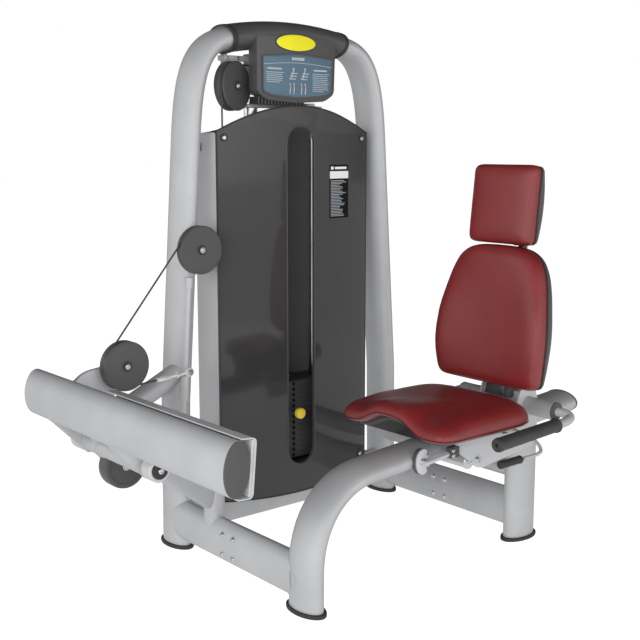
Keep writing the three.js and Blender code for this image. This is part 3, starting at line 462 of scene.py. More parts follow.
def build_frame():
    Shell().sweep(tower_path(), FRAME_OVAL).make("tower_arch_tube", SILVER, "tower_arch")
    Shell().sweep(rail_path(), FRAME_OVAL).make("seat_rail", SILVER, "seat_rail_tube")
    heights = (10.4, 120, 240, rail_z(POST_X) - 10)
    post = [oval_ring(POST_X, SEAT_Y, z, HALF_LONG, HALF_SHORT, 56) for z in heights]
    Shell().rings(post).make("rear_post_tube", SILVER, "rear_post")

    beams = Shell()
    for x, far in ((0, SEAT_Y + 28), (POST_X, SEAT_Y + 18)):
        spots = (far, far * 0.66, far * 0.33, -26)
        beams.rings([[(x + a, y, BEAM_Z + b) for a, b in FRAME_OVAL] for y in spots])
    beams.rings([[(x, a, BEAM_Z + b) for a, b in FRAME_OVAL] for x in (22, 200, 404, 600, 786)])
    beams.make("base_beams", SILVER, "left_base_beam right_base_beam base_crossbeam")
    round_tube = ellipse(HALF_SHORT, HALF_SHORT, 40)
    spots = (SEAT_Y + 18, -400, -200, -26)
    upper = [[(POST_X + a, y, UPPER_BEAM_Z + b) for a, b in round_tube] for y in spots]
    Shell().rings(upper).make("rear_upper_tube", SILVER, "rear_upper_beam")

    stand = Shell().plate("xy", rectangle(111, 126, -54, -12, 3), 92, 104)
    stand.turned((118.5, -45.5, 96), UP, [(6.5, 0), (6.5, 103), (5.5, 104)], 24)
    stand.turned(BASE_PULLEY - BASE_AXIS * 16, BASE_AXIS, [(5, 0), (5, 26)], 24)
    hex_head(stand, BASE_PULLEY + BASE_AXIS * 7.5, BASE_AXIS, 7.5, 5)
    stand.make("base_pulley_stand", SILVER, bevel=0.8)

    welds = Shell()
    beam_weld(welds, 3, 0, -1)
    beam_weld(welds, 0, SEAT_Y, 1)
    beam_weld(welds, 805, 0, -1)
    beam_weld(welds, POST_X, SEAT_Y, 1, half_y=HALF_SHORT)
    beam_weld(welds, 804, 0, -1, z=UPPER_BEAM_Z, half_z=HALF_SHORT)
    oval = ellipse(HALF_SHORT, HALF_LONG, 40)
    for x, sign in ((5, 1), (803, -1)):
        bead(welds, [(x + sign * on_side(a), a, BEAM_Z + b) for a, b in oval], 2.6)
    welds.make("frame_welds", SILVER)

    bolts = Shell()
    for x in (0, POST_X):
        for y in (-273.5, -322):
            for z in (57, 110):
                side = x - on_side(z - BEAM_Z)
                washer(bolts, (side + 1, y, z), -ALONG_X, 9, 2)
                bolt(bolts, (side - 1, y, z), -ALONG_X, 7, 4.5)
    bolts.make("base_beam_bolts", CHROME)


def oval_ring(x, y, z, half_x, half_y, sides=64):
    return [(x + a, y + b, z) for a, b in ellipse(half_x, half_y, sides)]


def build_feet():
    feet = {"foot_pad_tower_left": (2, 0, 37, 67), "foot_pad_tower_right": (TOWER_WIDTH - 2, 0, 37, 67),
            "foot_pad_front": (0, SEAT_Y, 37, 67), "foot_pad_rear": (POST_X, SEAT_Y, 67, 37)}
    for name, (x, y, half_x, half_y) in feet.items():
        profile = [(-3, 0), (-0.8, 0.4), (0, 2.2), (0, 8), (-0.8, 10.2), (-2.2, 11), (-4.2, 11), (-5, 10)]
        rings = [oval_ring(x, y, z, half_x + inset, half_y + inset) for inset, z in profile]
        Shell().rings(rings).make(name + "_boot", RUBBER, name)


def build_rail_end():
    slope = Vector((1, 0, RAIL_SLOPE)).normalized()
    side, over = Vector((-RAIL_SLOPE, 0, 1)).normalized(), Vector((0, 1, 0))
    rings = []
    for inset, advance in ((1.2, -1), (1.2, 3), (0, 5), (-5, 8), (-16, 9.5)):
        middle = Vector((985, SEAT_Y, rail_z(985))) + slope * advance
        outline = ellipse(HALF_SHORT + inset, HALF_LONG + inset, 56)
        rings.append([middle + side * a + over * b for a, b in outline])
    Shell().rings(rings).make("rail_end_cap", DARK_PLASTIC)


# ---------------------------------------------------------------- tower casing

CASE_LEFT, CASE_RIGHT, CASE_SIDE, CASE_BULGE = 128, 680, 46, 32
FRONT_EDGE = 13
CASE_LOW, CASE_TOP = 107, 1180
SLOT = (TOWER_MID - 51, TOWER_MID + 51, 180, 1196)


def case_y(x):
    t = (2 * x - CASE_LEFT - CASE_RIGHT) / (CASE_RIGHT - CASE_LEFT)
    return CASE_SIDE + CASE_BULGE * (1 - t * t)


def case_outline(inset, top=CASE_TOP, crown=74, power=1, steps=24):
    points = []
    for i in range(steps + 1):
        t = 2 * i / steps - 1
        points.append((TOWER_MID + t * (276 - inset), CASE_LOW + inset - 15 * (1 - t * t)))
    for i in range(steps, -1, -1):
        t = 2 * i / steps - 1
        points.append((TOWER_MID + t * (276 - inset), top - inset + crown * (1 - t * t) ** power))
    return [(x + max(x - 600, 0) / 80 * FRONT_EDGE, z) for x, z in points]


def slot_outline(grow=0.0, steps=16):
    x0, x1, z0, z1 = SLOT
    r = (x1 - x0) / 2 + grow
    points = []
    for centre, start in ((z1 - 51, 0), (z0 + 51, math.pi)):
        for i in range(steps + 1):
            t = start + math.pi * i / steps
            points.append((TOWER_MID + r * math.cos(t), centre + r * math.sin(t)))
    return points


def shroud_sheet(name, sign, outline, holes, replaced):
    """A flat outline cut into narrow strips, bent to the casing's plan curve and given its thickness."""
    data = bpy.data.meshes.new(name)
    loops = [outline, *holes]
    flat = [[Vector((a, b, 0)) for a, b in loop] for loop in loops]
    points = [p for loop in flat for p in loop]
    data.from_pydata(points, [], [tuple(t) for t in tessellate_polygon(flat)])
    work = bmesh.new()
    work.from_mesh(data)
    for k in range(1, 41):
        x = CASE_LEFT + (CASE_RIGHT - CASE_LEFT) * k / 41
        everything = work.verts[:] + work.edges[:] + work.faces[:]
        bmesh.ops.bisect_plane(work, geom=everything, dist=1e-4, plane_co=(x, 0, 0), plane_no=(1, 0, 0))
    bmesh.ops.dissolve_degenerate(work, dist=1e-3, edges=work.edges)
    for v in work.verts:
        v.co = at(v.co.x, sign * case_y(v.co.x), v.co.y)
    bmesh.ops.recalc_face_normals(work, faces=work.faces)
    if (work.faces[:][0].normal.y > 0) != (sign > 0):
        bmesh.ops.reverse_faces(work, faces=work.faces)
    work.to_mesh(data)
    work.free()
    obj = add_object(name, data)
    thick = obj.modifiers.new("thickness", "SOLIDIFY")
    thick.thickness = 0.003
    thick.offset = -1
    apply_modifiers(obj)
    return finish_piece(obj, SMOKED_ACRYLIC if sign < 0 else INNER_GREY, replaced, angle=40)


def on_shroud(x, z, lift=0.0, sign=-1):
    return Vector((x, sign * (case_y(x) + lift), z))


def dense(points, step=16.0):
    out = []
    for k, p in enumerate(points):
        a, b = Vector(points[k - 1]), Vector(p)
        pieces = max(1, int((b - a).length / step))
        out.extend(a.lerp(b, (i + 1) / pieces) for i in range(pieces))
    return out


def build_casing():
    notch = [(172, 234), (172, 140)]
    front = [*case_outline(1.0), (129, 234), *notch, (129, 140)]
    shroud_sheet("front_shroud_panel", -1, front, [slot_outline()], "front_shroud")
    rear = case_outline(1.0, CASE_TOP - 6, 46, 2)
    shroud_sheet("rear_shroud_panel", 1, rear, [], "rear_shroud")
    trim = Shell()
    for sign, outline in ((-1, front), (1, rear)):
        bead(trim, [on_shroud(p.x, p.y, -1.4, sign) for p in dense(outline)], 2.8)
    trim.make("shroud_edge_trim", RUBBER)
    lip = Shell()
    for grow, lift, radius in ((1.0, 0.2, 1.8), (0.2, -7, 1.6)):
        bead(lip, [on_shroud(p.x, p.y, lift) for p in dense(slot_outline(grow), 14)], radius)
    lip.make("slot_lip", DARK_PLASTIC)

    for x, side in ((CASE_LEFT - 2.5, "left"), (CASE_RIGHT - 0.5, "right")):
        cover = Shell().plate("yz", rectangle(-43, 60, CASE_LOW + 3, CASE_TOP - 4, 8), x, x + 3)
        cover.make(side + "_side_cover", PALE_SILVER, side + "_side_panel", bevel=0.8)
    latch = Shell().plate("yz", rectangle(30, 50, 1125, 1148, 4), CASE_LEFT - 6, CASE_LEFT)
    latch.plate("yz", rectangle(35, 45, 1129, 1144, 2), CASE_LEFT - 9, CASE_LEFT - 5)
    latch.make("side_latch", RUBBER, bevel=0.8)

    rings, screws = Shell(), Shell()
    for x in (150, 664):
        for z in (158, 1162):
            slope = Vector((CASE_BULGE * 4 * (x - TOWER_MID) / 276 / 276 * 0.5, -1, 0)).normalized()
            spot = on_shroud(x, z)
            washer(rings, spot, slope, 11, 2.4)
            bolt(screws, spot + slope * 2, slope, 7, 4.5)
    rings.make("shroud_screw_rings", RUBBER)
    screws.make("shroud_screws", CHROME)


def shroud_mark(shell, x0, x1, z0, z1, lift=1.4, thick=1.0, columns=4):
    """A thin printed shape that follows the front shroud."""
    back = Vector((0, thick, 0))
    rings = []
    for i in range(columns + 1):
        x = x0 + (x1 - x0) * i / columns
        low, high = on_shroud(x, z0, lift), on_shroud(x, z1, lift)
        rings.append([low, high, high + back, low + back])
    return shell.rings(rings)


def build_label():
    shroud_mark(Shell(), 518, 601, 923, 1083, 0.9, 1.2, 6).make("information_label", LABEL_BLACK)
    marks, band = Shell(), Shell()
    shroud_mark(band, 523, 534, 1069, 1078)
    shroud_mark(band, 540, 592, 1070, 1077)
    shroud_mark(band, 518.5, 600.5, 1042, 1064)
    for k in range(24):
        width = 46 + 9 * math.sin(k * 1.7) + 14 * max(0, math.sin(k * 0.9 + 1))
        z = 1036 - 4.6 * k
        shroud_mark(marks, 522, 522 + width, z - 1.3, z + 0.5)
    band.make("information_label_band", PRINT_BRIGHT)
    marks.make("information_label_marks", PRINT_WHITE)


# ---------------------------------------------------------------- head of the tower

def build_head():
    path = [p for p in crossbar_path(32) if p.x < 608]
    sleeve = Shell().sweep(path, ellipse(39, 66, 64), ends=ROUND_END)
    sleeve.make("crossbar_sleeve", DARK_PLASTIC, "crossbar_cover", slot="gloss_black")
    rims = Shell()
    for a, b in ((path[0], path[1]), (path[-1], path[-2])):
        along = (b - a).normalized()
        rims.sweep([a - along * 1, a + along * 9], ellipse(40.5, 67.5, 64), ends=((1.2, 0.985),))
    rims.make("crossbar_sleeve_rims", RUBBER)

    face = [(254, 1440), (254, 1290), (290, 1268), (395, 1262), (500, 1268), (537, 1290), (543, 1440)]
    face = rounded(face, [2, 26, 60, 200, 60, 26, 2], 8)
    face += [(543 - 28.9 * i, 1443 + 13 * (1 - ((10 - 2 * i) / 10) ** 2)) for i in range(11)]
    box = Shell().plate("xz", face, -69, -30)
    rear = rounded([(296, 1402), (298, 1290), (404, 1276), (530, 1290), (536, 1402)], [3, 14, 120, 14, 3], 6)
    box.plate("xz", rear, -32, 56)
    box.make("console_case", DARK_PLASTIC, "console_housing", bevel=5, angle=40)
    rim_outer = rounded([(270, 1392), (270, 1290), (302, 1279), (393, 1273), (484, 1279), (526, 1290),
                         (529, 1392), (399, 1402)], [5, 16, 60, 200, 60, 16, 5, 200], 8)
    rim_inner = rounded([(274, 1388), (274, 1294), (304, 1284), (393, 1278), (482, 1284), (522, 1294),
                         (525, 1388), (399, 1398)], [4, 14, 60, 200, 60, 14, 4, 200], 8)
    rim = Shell().plate("xz", rim_outer, -73.4, -68, [rim_inner[::-1]])
    rim.make("placard_rim", DARK_PLASTIC, bevel=1.4)
    board = Shell().plate("xz", rim_inner, -72.6, -68)
    board.make("placard_board", PLACARD_BLUE, bevel=0.5)
    build_placard_marks()

    badge = [("badge_rim", NAVY, 74, 25, -72), ("badge_face", BADGE_YELLOW, 71, 22.6, -73.2)]
    for name, finish, half_x, half_z, front in badge:
        rings = []
        for inset, y in ((0, -66), (0, front + 1.2), (-0.8, front + 0.4), (-2.2, front)):
            rings.append([(393 + a, y, 1431 + b) for a, b in ellipse(half_x + inset, half_z + inset, 64)])
        Shell().rings(rings).make(name, finish)

    louvres = Shell()
    for k in range(15):
        x = 262 + 11.5 * k
        louvres.plate("xz", rectangle(x, x + 6.5, 1256, 1278, 2), -62, -20)
    louvres.make("console_louvres", GLOSS_BLACK, bevel=1)
    bushing = Shell()
    profile = [(17, 0)]
    for k in range(5):
        profile += [(18.5, 1 + 6 * k), (18.5, 4 + 6 * k), (16.5, 5 + 6 * k)]
    profile.append((15, 31))
    bushing.turned((470, -30, 1232), UP, profile, 32)
    bushing.make("cable_bushing", PALE_SILVER)


def build_placard_marks():
    white, red = Shell(), Shell()

    def bar(shell, x0, x1, z0, z1, front=-73.2):
        shell.plate("xz", rectangle(x0, x1, z0, z1), front, -71.5)

    swoosh = [(274 + 250 * i / 20, -72.6, 1367 + 8 * math.sin(math.pi * i / 20)) for i in range(21)]
    white.sweep(swoosh, ellipse(0.9, 0.9, 8))
    for k in range(5):
        bar(white, 376 + 9.4 * k, 383.6 + 9.4 * k, 1382, 1390)
    for start, rows in ((284, 6), (452, 10)):
        bar(white, start + 4, start + 54, 1354, 1358.5)
        for k in range(rows):
            width = 62 - 7 * abs(math.sin(1.9 * k)) - (14 if k == rows - 1 else 0)
            bar(white, start, start + width, 1345 - 5.4 * k, 1346.8 - 5.4 * k)
    for x in (366, 408):
        for k in range(3):
            bar(white, x + 3 * k, x + 24 + 3 * k, 1328 + 8 * k, 1330.5 + 8 * k)
        spine = [(x + 6, -72.6, 1330), (x + 12, -72.6, 1344), (x + 16, -72.6, 1354)]
        white.sweep(spine, ellipse(1.8, 1.8, 8))
        white.turned((x + 16, -72.4, 1358), TO_USER, [(3.2, 0), (3.2, 0.8)], 20)
        for foot in (x + 2, x + 16):
            leg = [(foot, -72.6, 1286), (foot + 2, -72.6, 1304), (foot, -72.6, 1318)]
            white.sweep(leg, ellipse(1.5, 1.5, 8))
            red.turned((foot + 1, -72.4, 1308), TO_USER, [(3.0, 0), (3.0, 1.4)], 20)
    white.make("placard_lines", PRINT_WHITE)
    red.make("placard_figures", PRINT_RED)


def build_guides():
    for side, name in ((-1, "left_guide_rod"), (1, "right_guide_rod")):
        x = TOWER_MID + side * ROD_X
        shell = Shell().turned((x, STACK_Y, 170), UP, [(11.5, 0), (12.5, 1.5), (12.5, 1078.6)], 40)
        profile = [(12.4, 0), (18.5, 0), (20, 1.5), (20, 9), (18.6, 10), (18.6, 12), (20, 13), (20, 28),
                   (18.5, 29.5), (12.4, 29.5), (12.4, 0)]
        shell.turned((x, STACK_Y, YOKE_Z - 30), UP, profile, 40)
        shell.make(name + "_bar", CHROME, name)


# ---------------------------------------------------------------- weight stack

def plate_shell(shell, number):
    z = STACK_BASE + PLATE_PITCH * (14 - number)
    outline = rounded(rectangle(TOWER_MID - 150, TOWER_MID + 150, STACK_Y - 50, STACK_Y + 50), 9, 4)
    holes = [ellipse(13.5, 13.5, 32, TOWER_MID + dx, STACK_Y)[::-1] for dx in (-ROD_X, ROD_X)]
    holes.append(ellipse(14, 14, 32, TOWER_MID, STACK_Y)[::-1])
    return shell.plate("xy", outline, z, z + 16.8, holes), z


def build_stack():
    upper_hole_shade, lower_hole_shade = Shell(), Shell()
    for number in range(1, 15):
        lifted = number <= 6
        shell, z = plate_shell(Shell(), number)
        body = "lifted_stack" if lifted else "frame"
        names = {1: "top_weight_plate", 7: "lower_weight_plates"}
        replaced = names.get(number, "weight_plate_%02d" % number if lifted else "")
        shell.make("stack_plate_%02d" % number, BLACK_IRON, replaced, body, bevel=1.6)
        target = upper_hole_shade if lifted else lower_hole_shade
        # Each selector pin hole is a near-black disc on the plate's front: painted shade standing in for the
        # hole's depth.
        middle = (TOWER_MID, STACK_Y - 50.6, z + 8.4)
        target.turned(middle, TO_USER, [(5.6, -1), (5.6, 0.7), (4.2, 0.7), (4.0, 0), (TIP, -0.2)], 24)
    upper_hole_shade.make("pin_hole_shade_lifted", LABEL_BLACK, body="lifted_stack", slot="black_iron")
    lower_hole_shade.make("pin_hole_shade_resting", LABEL_BLACK, slot="black_iron")
    stem = Shell()
    profile = [(11.5, 0), (12.5, 1.2), (12.5, 233), (20, 234.6), (21, 236), (21, 247), (19.5, 249), (14, 250),
               (14, 258), (12, 262), (5, 263)]
    stem.turned((TOWER_MID, STACK_Y, STACK_BASE + 4), UP, profile, 40)
    stem.make("selector_stem_bar", CHROME, "selector_stem", "lifted_stack")
    z = STACK_BASE + 8 * PLATE_PITCH + 8.4
    pin = Shell().turned((TOWER_MID, STACK_Y + 12, z), TO_USER, [(4, 0), (5, 1.5), (5, 86)], 28)
    pin.make("selector_pin_rod", CHROME, body="selector_pin")
    profile = [(9, 0), (14.5, 1.5), (16.4, 5), (15.6, 8), (16, 10), (16.6, 14), (15.4, 17.2), (12, 18.6),
               (TIP, 19)]
    knob = Shell().turned((TOWER_MID, -60, z), TO_USER, profile, 48)
    knob.make("selector_knob", YELLOW, "selector_pin", "selector_pin")
    base = Shell().plate("xy", rectangle(TOWER_MID - 141, TOWER_MID + 141, -32, 60, 8), 142, 176)
    base.plate("xz", rectangle(TOWER_MID - 141, TOWER_MID - 120, 100, 150, 2), 32, 60)
    for dx in (-ROD_X, ROD_X):
        rings = [(13, 0), (25, 0)]
        for k in range(2):
            rings += [(25, 1 + 6 * k), (27, 3 + 6 * k), (25, 5 + 6 * k)]
        rings += [(24, 13.6), (13, 13.6), (13, 0)]
        base.turned((TOWER_MID + dx, STACK_Y, 176), UP, rings, 36)
    base.make("stack_tray", RUBBER, "stack_base", bevel=1.2)


# ---------------------------------------------------------------- pulleys and what carries them

def wheel(name, centre, axis, outer, width=24, groove=3.0, deep=0.0):
    """A grooved wheel with a fine line near its rim and a hub; deep thickens the flange behind the groove."""
    half = width / 2
    mouth = half - 3.5
    root = outer - 6 - groove
    back = -half - deep
    profile = [(8.5, back), (outer - 2, back), (outer, back + 2), (outer, -mouth),
               (root + 2, -3.6), (root, -2), (root, 2), (root + 2, 3.6),
               (outer, mouth), (outer, half - 2), (outer - 2, half), (outer - 4.4, half),
               (outer - 4.9, half - 0.6), (outer - 5.7, half - 0.6), (outer - 6.2, half),
               (17, half + 0.3), (16, half - 0.3), (8.5, half - 0.3), (8.5, back)]
    shell = Shell().turned(centre, axis, profile, 72)
    shell.make(name + "_wheel", DARK_PLASTIC, name + "_pulley", name + "_pulley", angle=28)


def hub_bolt(name, centre, axis, body):
    discs, heads = Shell(), Shell()
    spot = centre + axis * 12.3
    washer(discs, spot, axis, 13, 2.2)
    discs.make(name + "_washer", RUBBER, body=body)
    bolt(heads, spot + axis * 1.9, axis, 8.5, 4.6)
    heads.make(name, CHROME, body=body)


def build_pulleys():
    for name, centre, axis, outer, deep in (("tower", TOP_PULLEY, TOP_AXIS, 69, 10),
                                            ("mid", MID_PULLEY, TO_USER, 67, 0),
                                            ("arm", ARM_PULLEY, TO_USER, 67, 5)):
        wheel(name, centre, axis, outer, deep=deep)
        hub_bolt(name + "_wheel_bolt", centre, axis, "foot_arm" if name == "arm" else "frame")
    wheel("centre", CENTRE_PULLEY, TO_USER, 55)
    wheel("base", BASE_PULLEY, BASE_AXIS, 37.4, 14, groove=2)


def build_pulley_frame():
    hanger = Shell()
    back = TOP_PULLEY - TOP_AXIS * 40
    hanger.turned(back, TOP_AXIS, [(13, 0), (13, 14), (5.5, 15), (5.5, 52)], 28)
    post = TOP_PULLEY - TOP_AXIS * 34
    hanger.turned(post, UP, [(TIP, -14), (8, -13), (9.5, -11), (9.5, 96)], 28)
    hanger.plate("xy", rectangle(190, 366, 2, 34, 4), 1378, 1392)
    hanger.turned((354, -1, 1316), (0, 1, 0), [(10, 0), (10, 3), (5.5, 4), (5.5, 39)], 28)
    hanger.plate("xz", rectangle(344, 364, YOKE_Z, 1424, 3), 28, 38)
    yoke_holes = [ellipse(9, 9, 24, TOWER_MID, STACK_Y)[::-1]]
    hanger.plate("xy", rectangle(TOWER_MID - 139, TOWER_MID + 139, -8, 38, 6), YOKE_Z, YOKE_Z + 8, yoke_holes)
    hanger.make("pulley_hanger_frame", SILVER, "pulley_hanger", bevel=0.8)
    heads = Shell()
    for dx in (-ROD_X, ROD_X):
        washer(heads, (TOWER_MID + dx, STACK_Y, YOKE_Z + 8), UP, 13)
        hex_head(heads, (TOWER_MID + dx, STACK_Y, YOKE_Z + 9.6), UP, 10, 7)
    for x in (206, 240, 300):
        bolt(heads, (x, 2, 1385), TO_USER, 5, 4)
    heads.make("hanger_bolts", CHROME)
    profile = [(19, 0), (20, 1), (20, 8), (18, 10)]
    spacer = Shell().turned(TOP_PULLEY - TOP_AXIS * 12.6, -TOP_AXIS, profile, 36)
    spacer.make("tower_wheel_spacer", RUBBER)

    post = Shell().sweep([(-9, -67, 395), (18, -67, 782)], ellipse(8, 8, 28), ends=((1.5, 0.85),))
    post.sweep([(-6.2, -67, 438), (-1.4, -67, 508)], ellipse(13, 13, 32), ends=((1.5, 0.9),))
    post.sweep([(15.5, -67, 752), (17.7, -67, 781)], ellipse(11.5, 11.5, 32), ends=((1.5, 0.9),))
    ear = rounded([(6, 768), (32, 768), (62, 850), (56, 874), (32, 874)], [4, 4, 10, 8, 8])
    post.plate("xz", ear, -66, -56)
    for z in (430, 770):
        x = -4 + (z - 395) * 0.07
        post.plate("xy", rectangle(x - 10, x + 10, -68, -40, 3), z, z + 12)
    post.turned((44, -36, 857), TO_USER, [(17, 0), (17, 6), (15, 7), (15, 31), (8, 31.2), (8, 62)], 32)
    post.turned((3, -58, 520), TO_USER, [(8, 0), (8, 8), (4.5, 9), (4.5, 33)], 24)
    post.make("leg_post", SILVER, "leg_pulley_post", bevel=0.6)
    pins = Shell()
    washer(pins, (3, -86, 520), TO_USER, 8.5, 1.6)
    hex_head(pins, (3, -87.6, 520), TO_USER, 7, 5)
    pins.make("anchor_pin_head", CHROME)


# ---------------------------------------------------------------- foot arm and its supports

def spin_bar(a, b):
    c, s = math.cos(BAR_TILT), math.sin(BAR_TILT)
    return BAR_X + a * c - b * s, BAR_Z + a * s + b * c


def on_bar(a, y, b):
    x, z = spin_bar(a, b)
    return Vector((x, y, z))


def bar_ring(y, inset):
    return [on_bar(a, y, b) for a, b in ellipse(32.5 + inset, 59 + inset, 72)]


def build_arm():
    bar = Shell().rings([bar_ring(y, 0) for y in (-874.5, -620, -320, -100, 28)])
    bar.make("foot_bar_tube", SILVER, "foot_bar", "foot_arm")
    caps = Shell()
    for y, sign in ((-874.5, -1), (28, 1)):
        steps = ((-2, -0.6), (1.6, -0.6), (3, -1.6), (3.6, -4))
        caps.rings([bar_ring(y + sign * out, inset) for out, inset in steps])
    caps.make("foot_bar_caps", DARK_PLASTIC, body="foot_arm")

    outer = [(6, 63.4), (43.4, 63.4), (43.4, -63.4), (6, -63.4),
             (6, -60.6), (40.4, -60.6), (40.4, 60.6), (6, 60.6)]
    outer = rounded(outer, [0.8, 13, 13, 0.8, 0.8, 10.5, 10.5, 0.8], 8)
    channel = Shell().plate("xz", [spin_bar(a, b) for a, b in outer], -877.5, -327)
    channel.make("foot_plate_channel", PALE_SILVER, "foot_plate", "foot_arm", bevel=0.7)
    lining = rounded([(33.6, 58), (40.2, 58), (40.2, -58), (33.6, -58)], [0.5, 9, 9, 0.5], 6)
    pad = Shell().plate("xz", [spin_bar(a, b) for a, b in lining], -874, -330)
    pad.make("foot_plate_lining", PALE_SILVER, body="foot_arm", bevel=0.8)
    grip = Shell()
    for k in range(9):
        rib = ellipse(1.3, 2.6, 12, 43.6, -44 + 11 * k)
        grip.rings([[on_bar(a, y, b) for a, b in rib] for y in (-868, -336)])
    grip.make("foot_plate_ribs", RUBBER, body="foot_arm")

    wedge = [(-394, 524), (-394, 446), (-362, 418), (-262, 317), (-236, 317), (-221, 347), (-237, 375),
             (-330, 488)]
    wedge = rounded(wedge, [4, 8, 6, 5, 5, 14, 14, 10], 5)
    horn = spline([(-385, 470), (-380, 497), (-362, 520), (-336, 536), (-313, 552), (-289, 560), (-250, 566),
                   (-205, 584), (-178, 578), (-171, 560), (-184, 541), (-208, 522), (-221, 490), (-223, 440),
                   (-222, 347)], 4)
    horn = [(p.x, p.y) for p in horn] + [(-262, 321), (-300, 398)]
    window = [(-330, 470), (-300, 488), (-262, 502), (-246, 490), (-250, 420), (-290, 432)]
    window = rounded(window, 12, 5)[::-1]
    plates = Shell()
    for a, b in ((18, 27), (-285, -276)):
        plates.plate("xz", wedge, a, b)
    plates.plate("xz", horn, -62, -50, [window])
    hanger = [(-262, 374), (-222, 364), (-168, 298), (-166, 262), (-196, 258), (-264, 330)]
    plates.plate("xz", rounded(hanger, [8, 8, 14, 14, 14, 10], 5), -4.6, 4)
    plates.make("arm_plates", SILVER, "arm_frame", "foot_arm", bevel=1.4)
    tubes = Shell()
    profile = [(13, 0), (26, 0), (27, 1), (27, 321), (26, 322), (13, 322), (13, 0)]
    tubes.turned((PIVOT_X, 30, PIVOT_Z), TO_USER, profile, 56)
    profile = [(17, 0), (17, 6), (15, 7.4), (8, 7.6), (8, 42)]
    tubes.turned((ARM_PULLEY.x, -55, ARM_PULLEY.z), TO_USER, profile, 36)
    tubes.make("arm_pivot_tube", SILVER, body="foot_arm")
    welds = Shell()
    for y in (16.8, 28.2, -274.8, -63.2, -48.8):
        bead(welds, [(PIVOT_X + a, y, PIVOT_Z + b) for a, b in ellipse(27.5, 27.5, 36)], 2.0)
    welds.make("arm_welds", SILVER, body="foot_arm")
    plugs = Shell()
    for y, axis in ((28, -TO_USER), (-286, TO_USER)):
        plugs.turned((-300, y, 440), axis, [(10, -1), (10, 1), (8.5, 2.6), (TIP, 3)], 28)
    plugs.make("arm_plate_plugs", RUBBER, body="foot_arm")

    x, z = PIVOT_X + 65.4, PIVOT_Z - 68.5
    disc = Shell()
    profile = [(58, 0), (61.5, 1.4), (62.5, 5), (62.5, 39), (61.5, 43), (58, 44.4), (50, 44.4), (48.5, 43),
               (30, 43), (28.5, 44.4)]
    disc.turned((x, -5.6, z), TO_USER, profile, 72)
    disc.make("arm_counterweight", DARK_PLASTIC, "counterweight", "foot_arm", slot="black_rubber")
    heads = Shell()
    washer(heads, (x, -50, z), TO_USER, 12, 2)
    bolt(heads, (x, -51.8, z), TO_USER, 9, 5)
    heads.make("counterweight_bolt", CHROME, body="foot_arm")


def build_supports():
    shaft = Shell().turned((PIVOT_X, 90, PIVOT_Z), TO_USER, [(11, 0), (12, 1.2), (12, 425), (11, 426)], 36)
    shaft.make("arm_shaft", CHROME, "pivot_shaft")
    side = Vector((-0.43, 0.9, 0)).normalized()

    def upright(x, y, low, high, half):
        middle = (low + high) / 2
        return [Vector((x, y, middle)) + side * a + UP * b for a, b in superoval(half, (high - low) / 2, 56)]

    stand = Shell()
    rings = []
    for i in range(10):
        t = i / 9
        rings.append(upright(PIVOT_X + 12 + 222 * t, -314 + 112 * t, 312 - 154 * t, 374 - 38 * t, 16 + 3 * t))
    stand.rings(rings)
    stand.rings([[(a, -197 + b, z) for a, b in ellipse(29 + inset, 29 + inset, 48)]
                 for inset, z in ((0, 118), (0, 336), (-1.5, 342), (-7, 346), (-16, 348))])
    stand.make("arm_pedestal", SILVER, "pivot_pedestal", bevel=2.0, angle=40)
    collar = Shell()
    for start, axis, length in ((-294.8, TO_USER, 39), (34.6, Vector((0, 1, 0)), 51)):
        profile = [(12.5, 0), (29.5, 0), (31, 1.5), (31, length - 2), (29, length), (24, length),
                   (23, length - 2), (12.5, length - 2), (12.5, 0)]
        collar.turned((PIVOT_X, start, PIVOT_Z), axis, profile, 56)
    collar.make("arm_bearings", PALE_SILVER)
    caps = Shell()
    for y, axis in ((-330, TO_USER), (82, (0, 1, 0))):
        caps.turned((PIVOT_X, y, PIVOT_Z), axis, [(22, 0), (22, 5), (20.5, 7), (TIP, 7.6)], 40)
    caps.make("arm_bearing_caps", RUBBER)
    heads = Shell()
    bolt(heads, (PIVOT_X, -338, PIVOT_Z), TO_USER, 8.5, 5)
    bolt(heads, (PIVOT_X, 90, PIVOT_Z), (0, 1, 0), 8.5, 5)
    heads.make("arm_bearing_bolts", CHROME)

    start, end = Vector((10, -23.5, 514.5)), Vector((-238, 58, 353))
    strut = Shell().sweep([start.lerp(end, i / 3) for i in range(4)], ellipse(30, 30, 48))
    strut.make("arm_strut", SILVER, "pivot_strut")


def superoval(half_a, half_b, sides):
    """An oval with fuller corners than an ellipse."""
    def full(value):
        return math.copysign(abs(value) ** (2 / 2.6), value)

    return [(half_a * full(c), half_b * full(s)) for c, s in ellipse(1, 1, sides)]


# ---------------------------------------------------------------- cables

def arc(centre, u, v, radius, start, end, steps):
    points = []
    for i in range(steps + 1):
        t = math.radians(start + (end - start) * i / steps)
        points.append(Vector(centre) + u * (radius * math.cos(t)) + v * (radius * math.sin(t)))
    return points


def cable_piece(name, path, replaced, body=None, blend=()):
    """A stretch of cable that rides on one body; one given a blend rides on none, its transform baked into
    its points.
    """
    obj = Shell().sweep(path, ellipse(2.5, 2.5, 14)).make(name, CABLE_SHEATH, replaced, body)
    if blend:
        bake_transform(obj)


